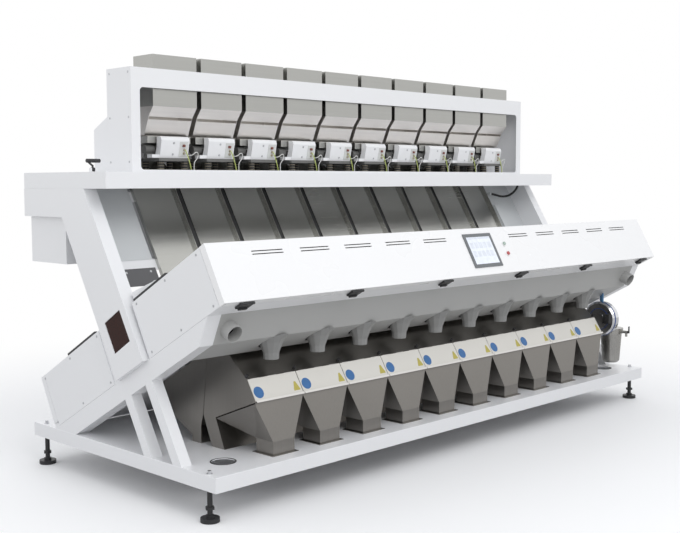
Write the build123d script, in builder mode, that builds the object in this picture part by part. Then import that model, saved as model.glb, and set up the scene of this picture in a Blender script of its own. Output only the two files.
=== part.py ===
# Ten-chute optical sorting machine, in millimetres
# +X runs along the machine, -Y is its front, +Z is up, and the origin is under the middle of its box

import math
import os

from build123d import *

os.makedirs("parts", exist_ok=True)

# Driving dimensions: base
base_length = 4200.0
base_depth = 1746.0
rail_height = 76.0
rail_width = 60.0
deck_thickness = 4.0
foot_clearance = 163.0
foot_inset_front = 86.0
foot_inset_back = 95.0
foot_disc_diameter = 98.0
foot_stem_diameter = 27.0
cross_rail_width = 50.0
rail_sheet = 4.0
foot_boss_wall = 9.0
deck_port_diameter = 125.0
deck_port_inset = 220.0
deck_port_behind = 213.0

# Driving dimensions: channels
channel_count = 10
channel_pitch = 345.0
channel_gap = 33.0

# Driving dimensions: slopes
box_tilt = 28.7
chute_lean = 59.2

# Driving dimensions: optical box, whose front top edge is its corner
box_front_behind = 68.0
box_front_height = 1390.0
box_height = 320.0
box_length = 1804.0
door_depth = 44.0
front_box_end = 715.0
rear_box_start = 1031.0
box_sheet = 3.0
cover_sheet = 3.7

# Driving dimensions: side frames
leg_width = 286.0
leg_front_offset = 160.0
leg_thickness = 80.0
beam_depth = 106.0
beam_thickness = 86.0
strut_size = 65.0
strut_front_offset = 99.0
strut_back_offset = -117.0
gusset_bottom = 1489.0
gusset_back = 1733.0

# Driving dimensions: shelf, feeder housing and cabinet
shelf_length = 4266.0
shelf_front = 861.0
shelf_back = 1729.0
shelf_bottom = 1652.0
shelf_top = 1743.0
shelf_rail = 60.0
shelf_sheet = 4.0
housing_length = 3747.0
housing_front = 993.0
housing_back = 1233.0
housing_top = 2328.0
housing_sheet = 3.0
window_length = 3628.0
window_bottom = 1757.0
window_top = 2218.0
window_corner = 22.0
cabinet_front = 1342.0
cabinet_bottom = 1219.0
cabinet_half = 2093.0
cabinet_sheet = 3.0

# Driving dimensions: feeding
collar_front = 1017.0
collar_back = 1205.0
collar_top = 2412.0
hopper_sheet = 2.5
throat_bottom = 1958.0
tray_front = 1082.0
tray_back = 1318.0
tray_floor = 1915.0
tray_wall = 38.0
tray_sheet = 3.0
tray_slope = 3.0

# Driving dimensions: chutes
chute_behind = 1070.0
chute_height = 1320.0
chute_sheet = 3.0
chute_flange = 22.0
chute_top = 1812.0
chute_end_depth = 110.0
cross_tube = 60.0
tube_wall = 4.0

# Driving dimensions: hoppers
funnel_front = 125.0
spout_width = 153.0
spout_depth = 135.0
spout_front = 105.0
neck_height = 318.0
outlet_sheet = 3.0
lid_top_behind = 203.0
lid_top_height = 654.0
lid_low_behind = 133.0
lid_low_height = 540.0
lid_swing = 75.0

# Driving dimensions: fits
gap = 0.3
running_gap = 0.1

# Slope factors
tilt_sin = math.sin(math.radians(box_tilt))
tilt_cos = math.cos(math.radians(box_tilt))
lean_sin = math.sin(math.radians(chute_lean))
lean_cos = math.cos(math.radians(chute_lean))

# Places worked out from the driving dimensions
door_reach = box_height * tilt_sin - box_front_behind
base_front = -(base_depth - door_reach) / 2
base_half = base_length / 2
deck_bottom = foot_clearance + rail_height
deck_top = deck_bottom + deck_thickness
row_half = channel_count * channel_pitch / 2
chute_width = channel_pitch - channel_gap
shelf_half = shelf_length / 2
leg_inner = shelf_half - leg_thickness
beam_inner = base_half - beam_thickness
box_half = base_half - cover_sheet - gap
channel_centres = [channel_pitch * (k + 0.5) - row_half for k in range(channel_count)]


def behind(distance):
    """Y of a place this far behind the front edge of the base."""
    return base_front + distance


def box_point(back, down):
    """(Y, Z) of a place measured along the sloping box from its front top corner."""
    y = behind(box_front_behind) + back * tilt_cos - down * tilt_sin
    z = box_front_height - back * tilt_sin - down * tilt_cos
    return (y, z)


def box_at_height(down, height):
    """(Y, Z) where a line this far below the top of the box crosses a height."""
    back = (box_front_height - down * tilt_cos - height) / tilt_sin
    return box_point(back, down)


def chute_point(out, height):
    """(Y, Z) at a height on a line parallel to the chutes, this far in front of them."""
    y = behind(chute_behind) + (height - chute_height) * lean_cos / lean_sin - out / lean_sin
    return (y, height)


def chute_at_box(out, down):
    """(Y, Z) where a line parallel to the chutes crosses a line along the box."""
    start_y, start_z = chute_point(out, chute_height)
    corner_y, corner_z = box_point(0, down)
    slope = tilt_sin / tilt_cos
    step = (corner_z - start_z - slope * (start_y - corner_y)) / (lean_sin + slope * lean_cos)
    return (start_y + step * lean_cos, start_z + step * lean_sin)


def keep(piece, name):
    """Label a finished piece and write it."""
    piece.part.label = name
    export_step(piece.part, f"parts/{name}.step")


def block(x_span, y_span, z_span, mode=Mode.ADD):
    """A square block between pairs of limits."""
    low = [min(span) for span in (x_span, y_span, z_span)]
    high = [max(span) for span in (x_span, y_span, z_span)]
    middle = tuple((a + b) / 2 for a, b in zip(low, high))
    with Locations(middle):
        Box(*(b - a for a, b in zip(low, high)), mode=mode)


def profile(points, x_span, mode=Mode.ADD):
    """A side outline in Y and Z, drawn out along X between two limits."""
    with BuildSketch(Plane.YZ.offset(min(x_span))) as outline:
        with BuildLine():
            Polyline(*points, close=True)
        make_face()
    extrude(outline.sketch, amount=abs(x_span[1] - x_span[0]), mode=mode)


def inner_outline(points, sheets):
    """The outline moved in by each edge's own sheet, where a negative sheet leaves that edge open."""
    pairs = list(zip(points, points[1:] + points[:1]))
    turn = math.copysign(1, sum(a[0] * b[1] - b[0] * a[1] for a, b in pairs))
    lines = []
    for (start, end), sheet in zip(pairs, sheets):
        run = math.hypot(end[0] - start[0], end[1] - start[1])
        way = ((end[0] - start[0]) / run, (end[1] - start[1]) / run)
        lines.append((start[0] - way[1] * turn * sheet, start[1] + way[0] * turn * sheet, *way))
    corners = []
    for a, b in zip(lines[-1:] + lines[:-1], lines):
        cross = a[2] * b[3] - a[3] * b[2]
        step = ((b[0] - a[0]) * b[3] - (b[1] - a[1]) * b[2]) / cross
        corners.append((a[0] + a[2] * step, a[1] + a[3] * step))
    return corners


def rod(start, end, radius, mode=Mode.ADD, sides=0):
    """A bar from one point to another, round or with this many flat sides."""
    path = Vector(*end) - Vector(*start)
    with BuildSketch(Plane(origin=start, z_dir=path.normalized())) as section:
        if sides:
            RegularPolygon(radius, sides)
        else:
            Circle(radius)
    extrude(section.sketch, amount=path.length, mode=mode)


def flat_bore(radius, sides):
    """Corner radius of a bore with flat sides that clears a round bar of this radius."""
    return radius / math.cos(math.pi / sides)


def planar_solid(rings):
    """A closed solid between an upper and a lower ring of four corners, with flat triangles for its sides."""
    upper, lower = rings
    faces = [Face(Wire.make_polygon(ring, close=True)) for ring in (upper, lower)]
    for k in range(4):
        a, b, c, d = upper[k], upper[(k + 1) % 4], lower[(k + 1) % 4], lower[k]
        creased = {1: ((a, b, c), (a, c, d)), 3: ((a, b, d), (b, c, d))}
        for corners in creased.get(k, ((a, b, c, d),)):
            faces.append(Face(Wire.make_polygon(corners, close=True)))
    return Solid(Shell(faces))


def box_block(x_span, back_span, down_span, mode=Mode.ADD):
    """A block set square to the sloping box."""
    corners = [
        box_point(back_span[0], down_span[0]),
        box_point(back_span[1], down_span[0]),
        box_point(back_span[1], down_span[1]),
        box_point(back_span[0], down_span[1]),
    ]
    profile(corners, x_span, mode)


# Base: a frame of square rails with cross rails between the channels
foot_places = {
    "front_left": (-(base_half - rail_width / 2), behind(foot_inset_front)),
    "front_right": (base_half - rail_width / 2, behind(foot_inset_front)),
    "back_left": (-(base_half - rail_width / 2), behind(base_depth - foot_inset_back)),
    "back_right": (base_half - rail_width / 2, behind(base_depth - foot_inset_back)),
}
foot_thread_depth = 50.0
with BuildPart() as base_frame:
    rail_span = (foot_clearance, deck_bottom)
    inside_span = (foot_clearance + rail_sheet, deck_bottom - rail_sheet)
    block((-base_half, base_half), (behind(0), behind(base_depth)), rail_span)
    block(
        (-base_half + rail_sheet, base_half - rail_sheet),
        (behind(rail_sheet), behind(base_depth - rail_sheet)),
        inside_span,
        Mode.SUBTRACT,
    )
    inner_y = (behind(rail_width), behind(base_depth - rail_width))
    block((-base_half + rail_width, base_half - rail_width), inner_y, rail_span, Mode.SUBTRACT)
    for step in range(-2, 3):
        middle = step * 2 * channel_pitch
        half = cross_rail_width / 2
        cross_y = (behind(rail_sheet), behind(base_depth - rail_sheet))
        block((middle - half, middle + half), cross_y, (foot_clearance + rail_sheet - 1, deck_bottom))
        hollow = (foot_clearance + rail_sheet - 1, deck_bottom - rail_sheet)
        block((middle - half + rail_sheet, middle + half - rail_sheet), inner_y, hollow, Mode.SUBTRACT)
    for x, y in foot_places.values():
        boss = foot_stem_diameter / 2 + foot_boss_wall
        rod((x, y, foot_clearance), (x, y, deck_bottom), boss, sides=8)
        rod(
            (x, y, foot_clearance),
            (x, y, foot_clearance + foot_thread_depth),
            flat_bore(foot_stem_diameter / 2 + running_gap, 16),
            Mode.SUBTRACT,
            16,
        )
keep(base_frame, "base_frame")

# Levelling feet: a swivel disc, a hexagon to turn it by and a threaded stem
foot_disc_edge = 7.0
foot_disc_height = 20.0
foot_hexagon = 42.0
foot_hexagon_height = 62.0
foot_hexagon_depth = 15.0
foot_sides = 24
for corner, (x, y) in foot_places.items():
    with BuildPart() as foot:
        disc = foot_disc_diameter / 2
        neck = foot_stem_diameter / 2
        rod((x, y, 0), (x, y, foot_disc_edge), disc, sides=foot_sides)
        rings = []
        for radius, height in ((disc, foot_disc_edge), (neck + 8, foot_disc_height), (neck, foot_disc_height + 14)):
            with BuildSketch(Plane(origin=(x, y, height))) as ring:
                RegularPolygon(radius, foot_sides)
            rings.append(ring.sketch.face())
        loft(rings, ruled=True)
        rod((x, y, foot_disc_height), (x, y, foot_clearance + foot_thread_depth - 5), neck)
        with BuildSketch(Plane(origin=(x, y, foot_hexagon_height))):
            RegularPolygon(foot_hexagon / 2, 6, major_radius=False)
        extrude(amount=foot_hexagon_depth)
    keep(foot, f"foot_{corner}")

# Deck: a sheet with the outlet of every spout and two round ports
middle_front, middle_back = 393.0, 500.0
rear_front, rear_back = 595.0, 676.0
slot_width = 300.0
with BuildPart() as deck_plate:
    deck_span = (deck_bottom, deck_top)
    block((-base_half, base_half), (behind(0), behind(base_depth)), deck_span)
    for centre in channel_centres:
        spout_inside = spout_width / 2 - outlet_sheet
        block(
            (centre - spout_inside, centre + spout_inside),
            (behind(spout_front + outlet_sheet), behind(spout_front + spout_depth - outlet_sheet)),
            deck_span,
            Mode.SUBTRACT,
        )
        for slot_front, slot_back in ((middle_front, middle_back), (rear_front, rear_back)):
            block(
                (centre - slot_width / 2, centre + slot_width / 2),
                (behind(slot_front + outlet_sheet), behind(slot_back - outlet_sheet)),
                deck_span,
                Mode.SUBTRACT,
            )
    for x in (-(base_half - deck_port_inset), base_half - deck_port_inset):
        rod(
            (x, behind(deck_port_behind), deck_bottom),
            (x, behind(deck_port_behind), deck_top),
            deck_port_diameter / 2,
            Mode.SUBTRACT,
        )
keep(deck_plate, "deck_plate")

# Side frames: a leaning leg with a top gusset, a sloping beam and two struts
window_width = 166.0
window_height = 184.0
window_middle_height = 889.0
window_out = 26.0
frame_sheet = 5.0
duct_front_top = 151.0
duct_front_low = 291.0
leg_back_offset = leg_front_offset - leg_width
beam_top = box_height + gap
beam_low = box_height + beam_depth
window_centre = chute_point(window_out, window_middle_height)


def window_block(width, height, x_span, mode):
    """A rectangle set along the leg and centred on its window."""
    corners = []
    for along, across in ((-1, -1), (1, -1), (1, 1), (-1, 1)):
        up = along * height / 2
        out = across * width / 2
        y = window_centre[0] + up * lean_cos - out * lean_sin
        z = window_centre[1] + up * lean_sin + out * lean_cos
        corners.append((y, z))
    profile(corners, x_span, mode)


def side_frame_solids(side):
    """Leg, gusset, beam and struts of one side, where side is -1 or 1."""
    leg_span = (side * leg_inner, side * shelf_half)
    beam_span = (side * beam_inner, side * base_half)
    strut_span = (side * (base_half - strut_size), side * base_half)
    leg = [
        chute_at_box(leg_front_offset, beam_top),
        chute_point(leg_front_offset, shelf_bottom - gap),
        (behind(gusset_back), shelf_bottom - gap),
        (behind(gusset_back), gusset_bottom),
        chute_point(leg_back_offset, gusset_bottom),
        chute_at_box(leg_back_offset, beam_top),
    ]
    sheet = frame_sheet
    leg_inside = (side * (leg_inner + sheet), side * (shelf_half - sheet))
    profile(leg, leg_span)
    profile(inner_outline(leg, [sheet, -5, sheet, sheet, sheet, sheet]), leg_inside, Mode.SUBTRACT)
    window_block(window_width + 2 * sheet, window_height + 2 * sheet, leg_span, Mode.ADD)
    window_block(window_width, window_height, leg_span, Mode.SUBTRACT)
    beam = [
        box_point(duct_front_top, beam_top),
        box_point(duct_front_low, beam_low),
        box_at_height(beam_low, deck_top),
        box_at_height(beam_top, deck_top),
    ]
    beam_inside = (side * (beam_inner + sheet), side * (base_half - sheet))
    profile(beam, beam_span)
    profile(inner_outline(beam, [sheet, sheet, -5, sheet]), beam_inside, Mode.SUBTRACT)
    for offset in (strut_front_offset, strut_back_offset):
        front = offset + strut_size / 2
        back = offset - strut_size / 2
        profile(
            [
                chute_point(front, deck_top),
                chute_at_box(front, beam_low - 1),
                chute_at_box(back, beam_low - 1),
                chute_point(back, deck_top),
            ],
            strut_span,
        )
        profile(
            [
                chute_point(front - sheet, deck_top - 1),
                chute_at_box(front - sheet, beam_low + sheet),
                chute_at_box(back + sheet, beam_low + sheet),
                chute_point(back + sheet, deck_top - 1),
            ],
            (side * (base_half - strut_size + sheet), side * (base_half - sheet)),
            Mode.SUBTRACT,
        )


with BuildPart() as side_frame_left:
    side_frame_solids(-1)
keep(side_frame_left, "side_frame_left")

# Right frame: it also carries the arms of the air drum and of the filter
drum_x, drum_behind, drum_height = 1835.0, 225.0, 628.0
drum_length, drum_diameter = 70.0, 262.0
bowl_x, bowl_behind = 2005.0, 215.0
bowl_bottom, bowl_top = 285.0, 505.0
bowl_diameter = 170.0
head_height = 40.0
bowl_sides = 32
arm_height = 26.0
with BuildPart() as side_frame_right:
    side_frame_solids(1)
    drum_back = drum_x + drum_length + gap
    strut_y = chute_point(strut_front_offset, drum_height)[0]
    block(
        (drum_back, drum_back + 8),
        (behind(drum_behind - 30), strut_y + 20),
        (drum_height - 30, drum_height + 30),
    )
    block(
        (drum_back, base_half - strut_size + 5),
        (strut_y - 20, strut_y + 20),
        (drum_height - 30, drum_height + 30),
    )
    arm_z = bowl_top + head_height / 2
    strut_y = chute_point(strut_front_offset, arm_z)[0]
    block(
        (bowl_x - 15, bowl_x + 15),
        (behind(bowl_behind + bowl_diameter / 2 + 6) + gap, strut_y + 10),
        (arm_z - arm_height / 2, arm_z + arm_height / 2),
    )
    block(
        (bowl_x - 15, base_half - strut_size + 5),
        (strut_y - 20, strut_y + 10),
        (arm_z - arm_height / 2, arm_z + arm_height / 2),
    )
keep(side_frame_right, "side_frame_right")

# Tinted windows in both legs
window_glass = 5.0
with BuildPart() as leg_windows:
    for side in (-1, 1):
        outer = side * (shelf_half - 3)
        span = (outer - side * window_glass, outer)
        window_block(window_width - 2 * gap, window_height - 2 * gap, span, Mode.ADD)
keep(leg_windows, "leg_windows")

# Shelf: a sheet on a ring of rails, open above the chutes, with the ears of the gate lever and a cable gland
lever_x, lever_behind = -2067.0, 1090.0
lever_pivot_z = shelf_top + 14.0
lever_boss = 20.0
lever_boss_radius = 11.0
lever_pin = 4.0
gland_x, gland_behind = 1956.0, 1058.0
gland_low = 1712.0
gland_radius = 14.0
shelf_slot_front, shelf_slot_back = 1222.0, 1372.0
with BuildPart() as shelf_deck:
    block((-shelf_half, shelf_half), (behind(shelf_front), behind(shelf_back)), (shelf_bottom, shelf_top))
    block(
        (-shelf_half + shelf_rail, shelf_half - shelf_rail),
        (behind(shelf_front + shelf_rail), behind(shelf_back - shelf_rail)),
        (shelf_bottom, shelf_top - shelf_sheet),
        Mode.SUBTRACT,
    )
    block(
        (-shelf_half + shelf_sheet, shelf_half - shelf_sheet),
        (behind(shelf_front + shelf_sheet), behind(shelf_back - shelf_sheet)),
        (shelf_bottom + shelf_sheet, shelf_top - shelf_sheet),
        Mode.SUBTRACT,
    )
    slot_half = row_half + 6
    block(
        (-slot_half, slot_half),
        (behind(shelf_slot_front), behind(shelf_slot_back)),
        (shelf_bottom, shelf_top),
        Mode.SUBTRACT,
    )
    ear_y = behind(lever_behind)
    for near, far in ((lever_boss / 2 + gap, lever_boss / 2 + gap + 6), (-lever_boss / 2 - gap - 6, -lever_boss / 2 - gap)):
        block((lever_x + near, lever_x + far), (ear_y - 10, ear_y + 10), (shelf_top, lever_pivot_z + 9))
    pin_reach = lever_boss / 2 + gap + 5
    rod((lever_x - pin_reach, ear_y, lever_pivot_z), (lever_x + pin_reach, ear_y, lever_pivot_z), lever_pin)
    rod((gland_x, behind(gland_behind), gland_low), (gland_x, behind(gland_behind), shelf_top - 1), gland_radius)
keep(shelf_deck, "shelf_deck")

# Cabinet hanging behind the legs, open on top under the shelf
with BuildPart() as control_cabinet:
    wide = (-cabinet_half, cabinet_half)
    neck = (-(leg_inner - 5), leg_inner - 5)
    low = (cabinet_bottom, gusset_bottom - 3)
    high = (gusset_bottom - 3, shelf_bottom - gap)
    for span, level in ((wide, low), (neck, high)):
        block(span, (behind(cabinet_front), behind(shelf_back)), level)
    block(
        (wide[0] + cabinet_sheet, wide[1] - cabinet_sheet),
        (behind(cabinet_front + cabinet_sheet), behind(shelf_back - cabinet_sheet)),
        (low[0] + cabinet_sheet, low[1] - cabinet_sheet),
        Mode.SUBTRACT,
    )
    block(
        (neck[0] + cabinet_sheet, neck[1] - cabinet_sheet),
        (behind(cabinet_front + cabinet_sheet), behind(shelf_back - cabinet_sheet)),
        (low[1] - 2 * cabinet_sheet, high[1]),
        Mode.SUBTRACT,
    )
keep(control_cabinet, "control_cabinet")

# Feeder housing: a long box with a rounded window, open on top, behind and below
housing_half = housing_length / 2
rear_opening_top = 2040.0
with BuildPart() as feeder_housing:
    block((-housing_half, housing_half), (behind(housing_front), behind(housing_back)), (shelf_top, housing_top))
    block(
        (-housing_half + housing_sheet, housing_half - housing_sheet),
        (behind(housing_front + housing_sheet), behind(housing_back - housing_sheet)),
        (shelf_top, housing_top - housing_sheet),
        Mode.SUBTRACT,
    )
    window_mid = (window_bottom + window_top) / 2
    with BuildSketch(Plane.XZ.offset(-behind(housing_front + housing_sheet))) as window:
        with Locations((0, window_mid)):
            RectangleRounded(window_length, window_top - window_bottom, window_corner)
    extrude(window.sketch, amount=3 * housing_sheet, mode=Mode.SUBTRACT)
    block(
        (-row_half - 2, row_half + 2),
        (behind(collar_front - gap), behind(collar_back + gap)),
        (housing_top - housing_sheet, housing_top),
        Mode.SUBTRACT,
    )
    block(
        (-row_half - 6, row_half + 6),
        (behind(housing_back - housing_sheet), behind(housing_back)),
        (shelf_top, rear_opening_top),
        Mode.SUBTRACT,
    )
keep(feeder_housing, "feeder_housing")

# Cover over the tops of the chutes, behind the housing
cover_back = 1376.0
cover_back_height = 1990.0
cover_front_height = 2060.0
with BuildPart() as feeder_rear_cover:
    t = housing_sheet
    start = housing_back + gap
    profile(
        [
            (behind(start), shelf_top),
            (behind(start), cover_front_height),
            (behind(cover_back), cover_back_height),
            (behind(cover_back), shelf_top),
        ],
        (-housing_half, housing_half),
    )
    profile(
        [
            (behind(start), shelf_top),
            (behind(start), cover_front_height - 1.2 * t),
            (behind(cover_back - t), cover_back_height - 0.8 * t),
            (behind(cover_back - t), shelf_top),
        ],
        (-housing_half + t, housing_half - t),
        Mode.SUBTRACT,
    )
keep(feeder_rear_cover, "feeder_rear_cover")

# Inlet hoppers: a straight collar, a sloping front plate, a gate slit and a throat
bend_height = 2121.0
slope_back, slope_height = 1062.0, 2065.0
throat_front = 1108.0
slit_low, slit_high = 2046.0, 2062.0
with BuildPart() as inlet_hoppers:
    outer = [
        (behind(collar_front), collar_top),
        (behind(collar_front), bend_height),
        (behind(slope_back), slope_height),
        (behind(throat_front), throat_bottom),
        (behind(collar_back), throat_bottom),
        (behind(collar_back), collar_top),
    ]
    t = hopper_sheet
    inner = [
        (behind(collar_front + t), collar_top),
        (behind(collar_front + t), bend_height),
        (behind(slope_back + t), slope_height),
        (behind(throat_front + t), throat_bottom),
        (behind(collar_back - t), throat_bottom),
        (behind(collar_back - t), collar_top),
    ]
    half = chute_width / 2
    for centre in channel_centres:
        profile(outer, (centre - half, centre + half))
    for centre in channel_centres:
        profile(inner, (centre - half + t, centre + half - t), Mode.SUBTRACT)
        block(
            (centre - half + t, centre + half - t),
            (behind(slope_back - 5), behind(throat_front)),
            (slit_low, slit_high),
            Mode.SUBTRACT,
        )
keep(inlet_hoppers, "inlet_hoppers")

# Feeder trays: channels that shake the product back onto the chutes
tray_half = chute_width / 2 - 3
tray_drop = math.tan(math.radians(tray_slope)) * (tray_back - tray_front)
with BuildPart() as feeder_trays:
    for centre in channel_centres:
        profile(
            [
                (behind(tray_front), tray_floor - tray_sheet),
                (behind(tray_front), tray_floor + tray_wall),
                (behind(tray_back), tray_floor + tray_wall - tray_drop),
                (behind(tray_back), tray_floor - tray_sheet - tray_drop),
            ],
            (centre - tray_half, centre + tray_half),
        )
    for centre in channel_centres:
        profile(
            [
                (behind(tray_front + tray_sheet), tray_floor),
                (behind(tray_front + tray_sheet), tray_floor + 2 * tray_wall),
                (behind(tray_back + 1), tray_floor + 2 * tray_wall),
                (behind(tray_back + 1), tray_floor - tray_drop),
            ],
            (centre - tray_half + tray_sheet, centre + tray_half - tray_sheet),
            Mode.SUBTRACT,
        )
keep(feeder_trays, "feeder_trays")

# Feeder drives: a cast bed with a magnet under each tray
bed_front, bed_back = 1030.0, 1305.0
bed_low, bed_high = 1808.0, 1826.0
bed_half = 110.0
magnet_top = 1890.0
cover_left = -95.0
cover_right = 105.0
clamp_behind, clamp_height = 1118.0, 1878.0
clamp_length, clamp_radius = 62.0, 26.0
with BuildPart() as drive_magnets:
    for centre in channel_centres:
        block(
            (centre - bed_half, centre + bed_half),
            (behind(bed_front), behind(bed_back)),
            (bed_low, bed_high),
        )
        block(
            (centre - 45, centre + 45),
            (behind(1190), behind(1255)),
            (bed_high, magnet_top),
        )
        block(
            (centre - 62, centre + 62),
            (behind(1202), behind(1243)),
            (bed_high + 12, magnet_top - 12),
        )
        clamp = (centre + cover_left - gap, behind(clamp_behind), clamp_height)
        rod((centre + cover_left - clamp_length, *clamp[1:]), clamp, clamp_radius, sides=12)
        block(
            (centre + cover_left - clamp_length + 12, centre + cover_left - gap),
            (behind(clamp_behind) - 12, behind(clamp_behind) + 12),
            (bed_high - 1, clamp_height),
        )
keep(drive_magnets, "drive_magnets")

# Leaf springs that carry each tray on its bed
spring_lean = 14.0
spring_thickness = 3.0
spring_half = 30.0


def tray_underside(distance):
    """Height of the underside of a tray at a distance behind the base's front edge."""
    return tray_floor - tray_sheet - math.tan(math.radians(tray_slope)) * (distance - tray_front)


with BuildPart() as leaf_springs:
    for centre in channel_centres:
        for foot_at in (1140.0, 1275.0):
            head_at = foot_at - spring_lean
            profile(
                [
                    (behind(foot_at), bed_high + gap),
                    (behind(head_at), tray_underside(head_at) - gap),
                    (behind(head_at + spring_thickness), tray_underside(head_at + spring_thickness) - gap),
                    (behind(foot_at + spring_thickness), bed_high + gap),
                ],
                (centre - spring_half, centre + spring_half),
            )
keep(leaf_springs, "leaf_springs")

# Rubber mounts between the shelf and each bed
mount_diameter = 34.0
with BuildPart() as rubber_mounts:
    for centre in channel_centres:
        for side in (-1, 1):
            for place in (bed_front + 22, 1200.0):
                spot = (centre + side * 85, behind(place))
                rod((*spot, shelf_top + gap), (*spot, bed_low - gap), mount_diameter / 2, sides=8)
keep(rubber_mounts, "rubber_mounts")

# White covers in front of the drives, each with a foot flange on its left
cover_high = 1950.0
with BuildPart() as drive_covers:
    for centre in channel_centres:
        with BuildSketch(Plane.YZ.offset(centre + cover_left)) as side_view:
            with BuildLine():
                Polyline(
                    (behind(1048), bed_high + gap),
                    (behind(1026), cover_high - 22),
                    (behind(1032), cover_high - 6),
                    (behind(1042), cover_high),
                    (behind(1074), cover_high),
                    (behind(1074), cover_high - 55),
                    (behind(1098), bed_high + gap),
                    close=True,
                )
            make_face()
        extrude(side_view.sketch, amount=cover_right - cover_left)
        block(
            (centre + cover_left - 52, centre + cover_left + 1),
            (behind(1048), behind(1096)),
            (bed_high + gap, bed_high + 20),
        )
keep(drive_covers, "drive_covers")

# Chutes: long channels with low flanges
chute_low = chute_at_box(0, chute_end_depth)[1]
with BuildPart() as chute_plates:
    for centre in channel_centres:
        half = chute_width / 2
        back_edge = [chute_point(-chute_sheet, z) for z in (chute_low, chute_top)]
        face_edge = [chute_point(0, z) for z in (chute_top, chute_low)]
        profile(back_edge + face_edge, (centre - half, centre + half))
        rim_edge = [chute_point(chute_flange, z) for z in (chute_top - 30, chute_low)]
        for inner, outer in ((-half, -half + chute_sheet), (half - chute_sheet, half)):
            profile(back_edge + rim_edge, (centre + inner, centre + outer))
keep(chute_plates, "chute_plates")

# Cross tubes behind the chutes, from leg to leg
tube_heights = (1185.0, 1570.0)
tube_half = leg_inner - gap
with BuildPart() as chute_cross_tubes:
    for low in tube_heights:
        high = low + cross_tube
        front_out = -chute_sheet - gap
        back_out = front_out - cross_tube
        corners = [chute_point(front_out, low), chute_point(front_out, high)]
        corners += [chute_point(back_out, high), chute_point(back_out, low)]
        profile(corners, (-tube_half, tube_half))
        hollow = inner_outline(corners, [tube_wall] * 4)
        profile(hollow, (-tube_half - 1, tube_half + 1), Mode.SUBTRACT)
keep(chute_cross_tubes, "chute_cross_tubes")

# Filler panels between the chutes and the legs, with a bracket plate below each
bracket_low = 1104.0
strip_depth, strip_sheet = 14.0, 3.0
trunk_x, trunk_width, trunk_depth = 1742.0, 56.0, 24.0
trunk_low, trunk_high = 1252.0, 1491.0
clip_x, clip_width = 1729.0, 16.0
clip_out, clip_height = 26.0, 1584.0
with BuildPart() as side_filler_panels:
    for side in (-1, 1):
        near = side * (row_half + 2)
        panel = (near, side * (leg_inner - gap))
        plate = (near, side * (leg_inner - 50))
        upper = [chute_point(0, z) for z in (tube_heights[0] + cross_tube, shelf_bottom - gap)]
        upper += [chute_point(-chute_sheet, z) for z in (shelf_bottom - gap, tube_heights[0] + cross_tube)]
        profile(upper, panel)
        lower = [chute_point(0, z) for z in (bracket_low, tube_heights[0] + 14)]
        lower += [chute_point(-chute_sheet, z) for z in (tube_heights[0] + 14, bracket_low)]
        profile(lower, plate)
    for k in range(1, channel_count):
        seam = channel_pitch * k - row_half
        edge = channel_gap / 2 - gap
        for near, far, inner, outer in (
            (-edge, edge, strip_depth - strip_sheet, strip_depth),
            (-edge, -edge + strip_sheet, -chute_sheet, strip_depth),
            (edge - strip_sheet, edge, -chute_sheet, strip_depth),
        ):
            face = [chute_point(inner, z) for z in (chute_low, chute_top - 40)]
            face += [chute_point(outer, z) for z in (chute_top - 40, chute_low)]
            profile(face, (seam + near, seam + far))
    trunk = [chute_point(-1, z) for z in (trunk_low, trunk_high)]
    trunk += [chute_point(trunk_depth, z) for z in (trunk_high, trunk_low)]
    profile(trunk, (trunk_x, trunk_x + trunk_width))
    clip_y, clip_z = chute_point(clip_out, clip_height)
    rod((clip_x, clip_y, clip_z), (clip_x + clip_width, clip_y, clip_z), gland_radius)
    seat = [chute_point(clip_out, clip_height - 8), chute_point(clip_out, clip_height + 8)]
    seat += [chute_point(-1, clip_height + 8), chute_point(-1, clip_height - 8)]
    profile(seat, (clip_x, clip_x + clip_width))
keep(side_filler_panels, "side_filler_panels")

# Optical boxes: shells that are open at their doors, with a glazed slot towards the chutes
glass_slot = (60.0, 200.0)
glass_margin = 10.0
glass_thickness = 5.0
wedge_start = 300.0
wedge_rise = 62.0
wedge_inset = 22.0
hinge_radius = 8.0
hinge_pin = 4.0
hinge_width = 90.0
hinge_places = (-1560.0, 0.0, 1560.0)
hinge_sides = 8
hinge_down = -9.0
rear_box_end = box_length - door_depth
rear_door_low = 293.0
rear_sill_gap = 1.5
rail_down = (28.0, 40.0)
rail_out = 8.0


def hinge_block(centre, back, start, end, radius, mode=Mode.ADD):
    """A stretch of hinge barrel, pin or bore along X."""
    y, z = box_point(back, hinge_down)
    if mode == Mode.SUBTRACT:
        radius = flat_bore(radius, hinge_sides)
    sides = 0 if radius == hinge_pin else hinge_sides
    rod((centre + start, y, z), (centre + end, y, z), radius, mode, sides)


def hinge_leaf(centre, back_span, x_start, x_end):
    """The leaf that joins a barrel to the top of its sheet."""
    box_block((centre + x_start, centre + x_end), back_span, (hinge_down, 0.5))


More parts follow.
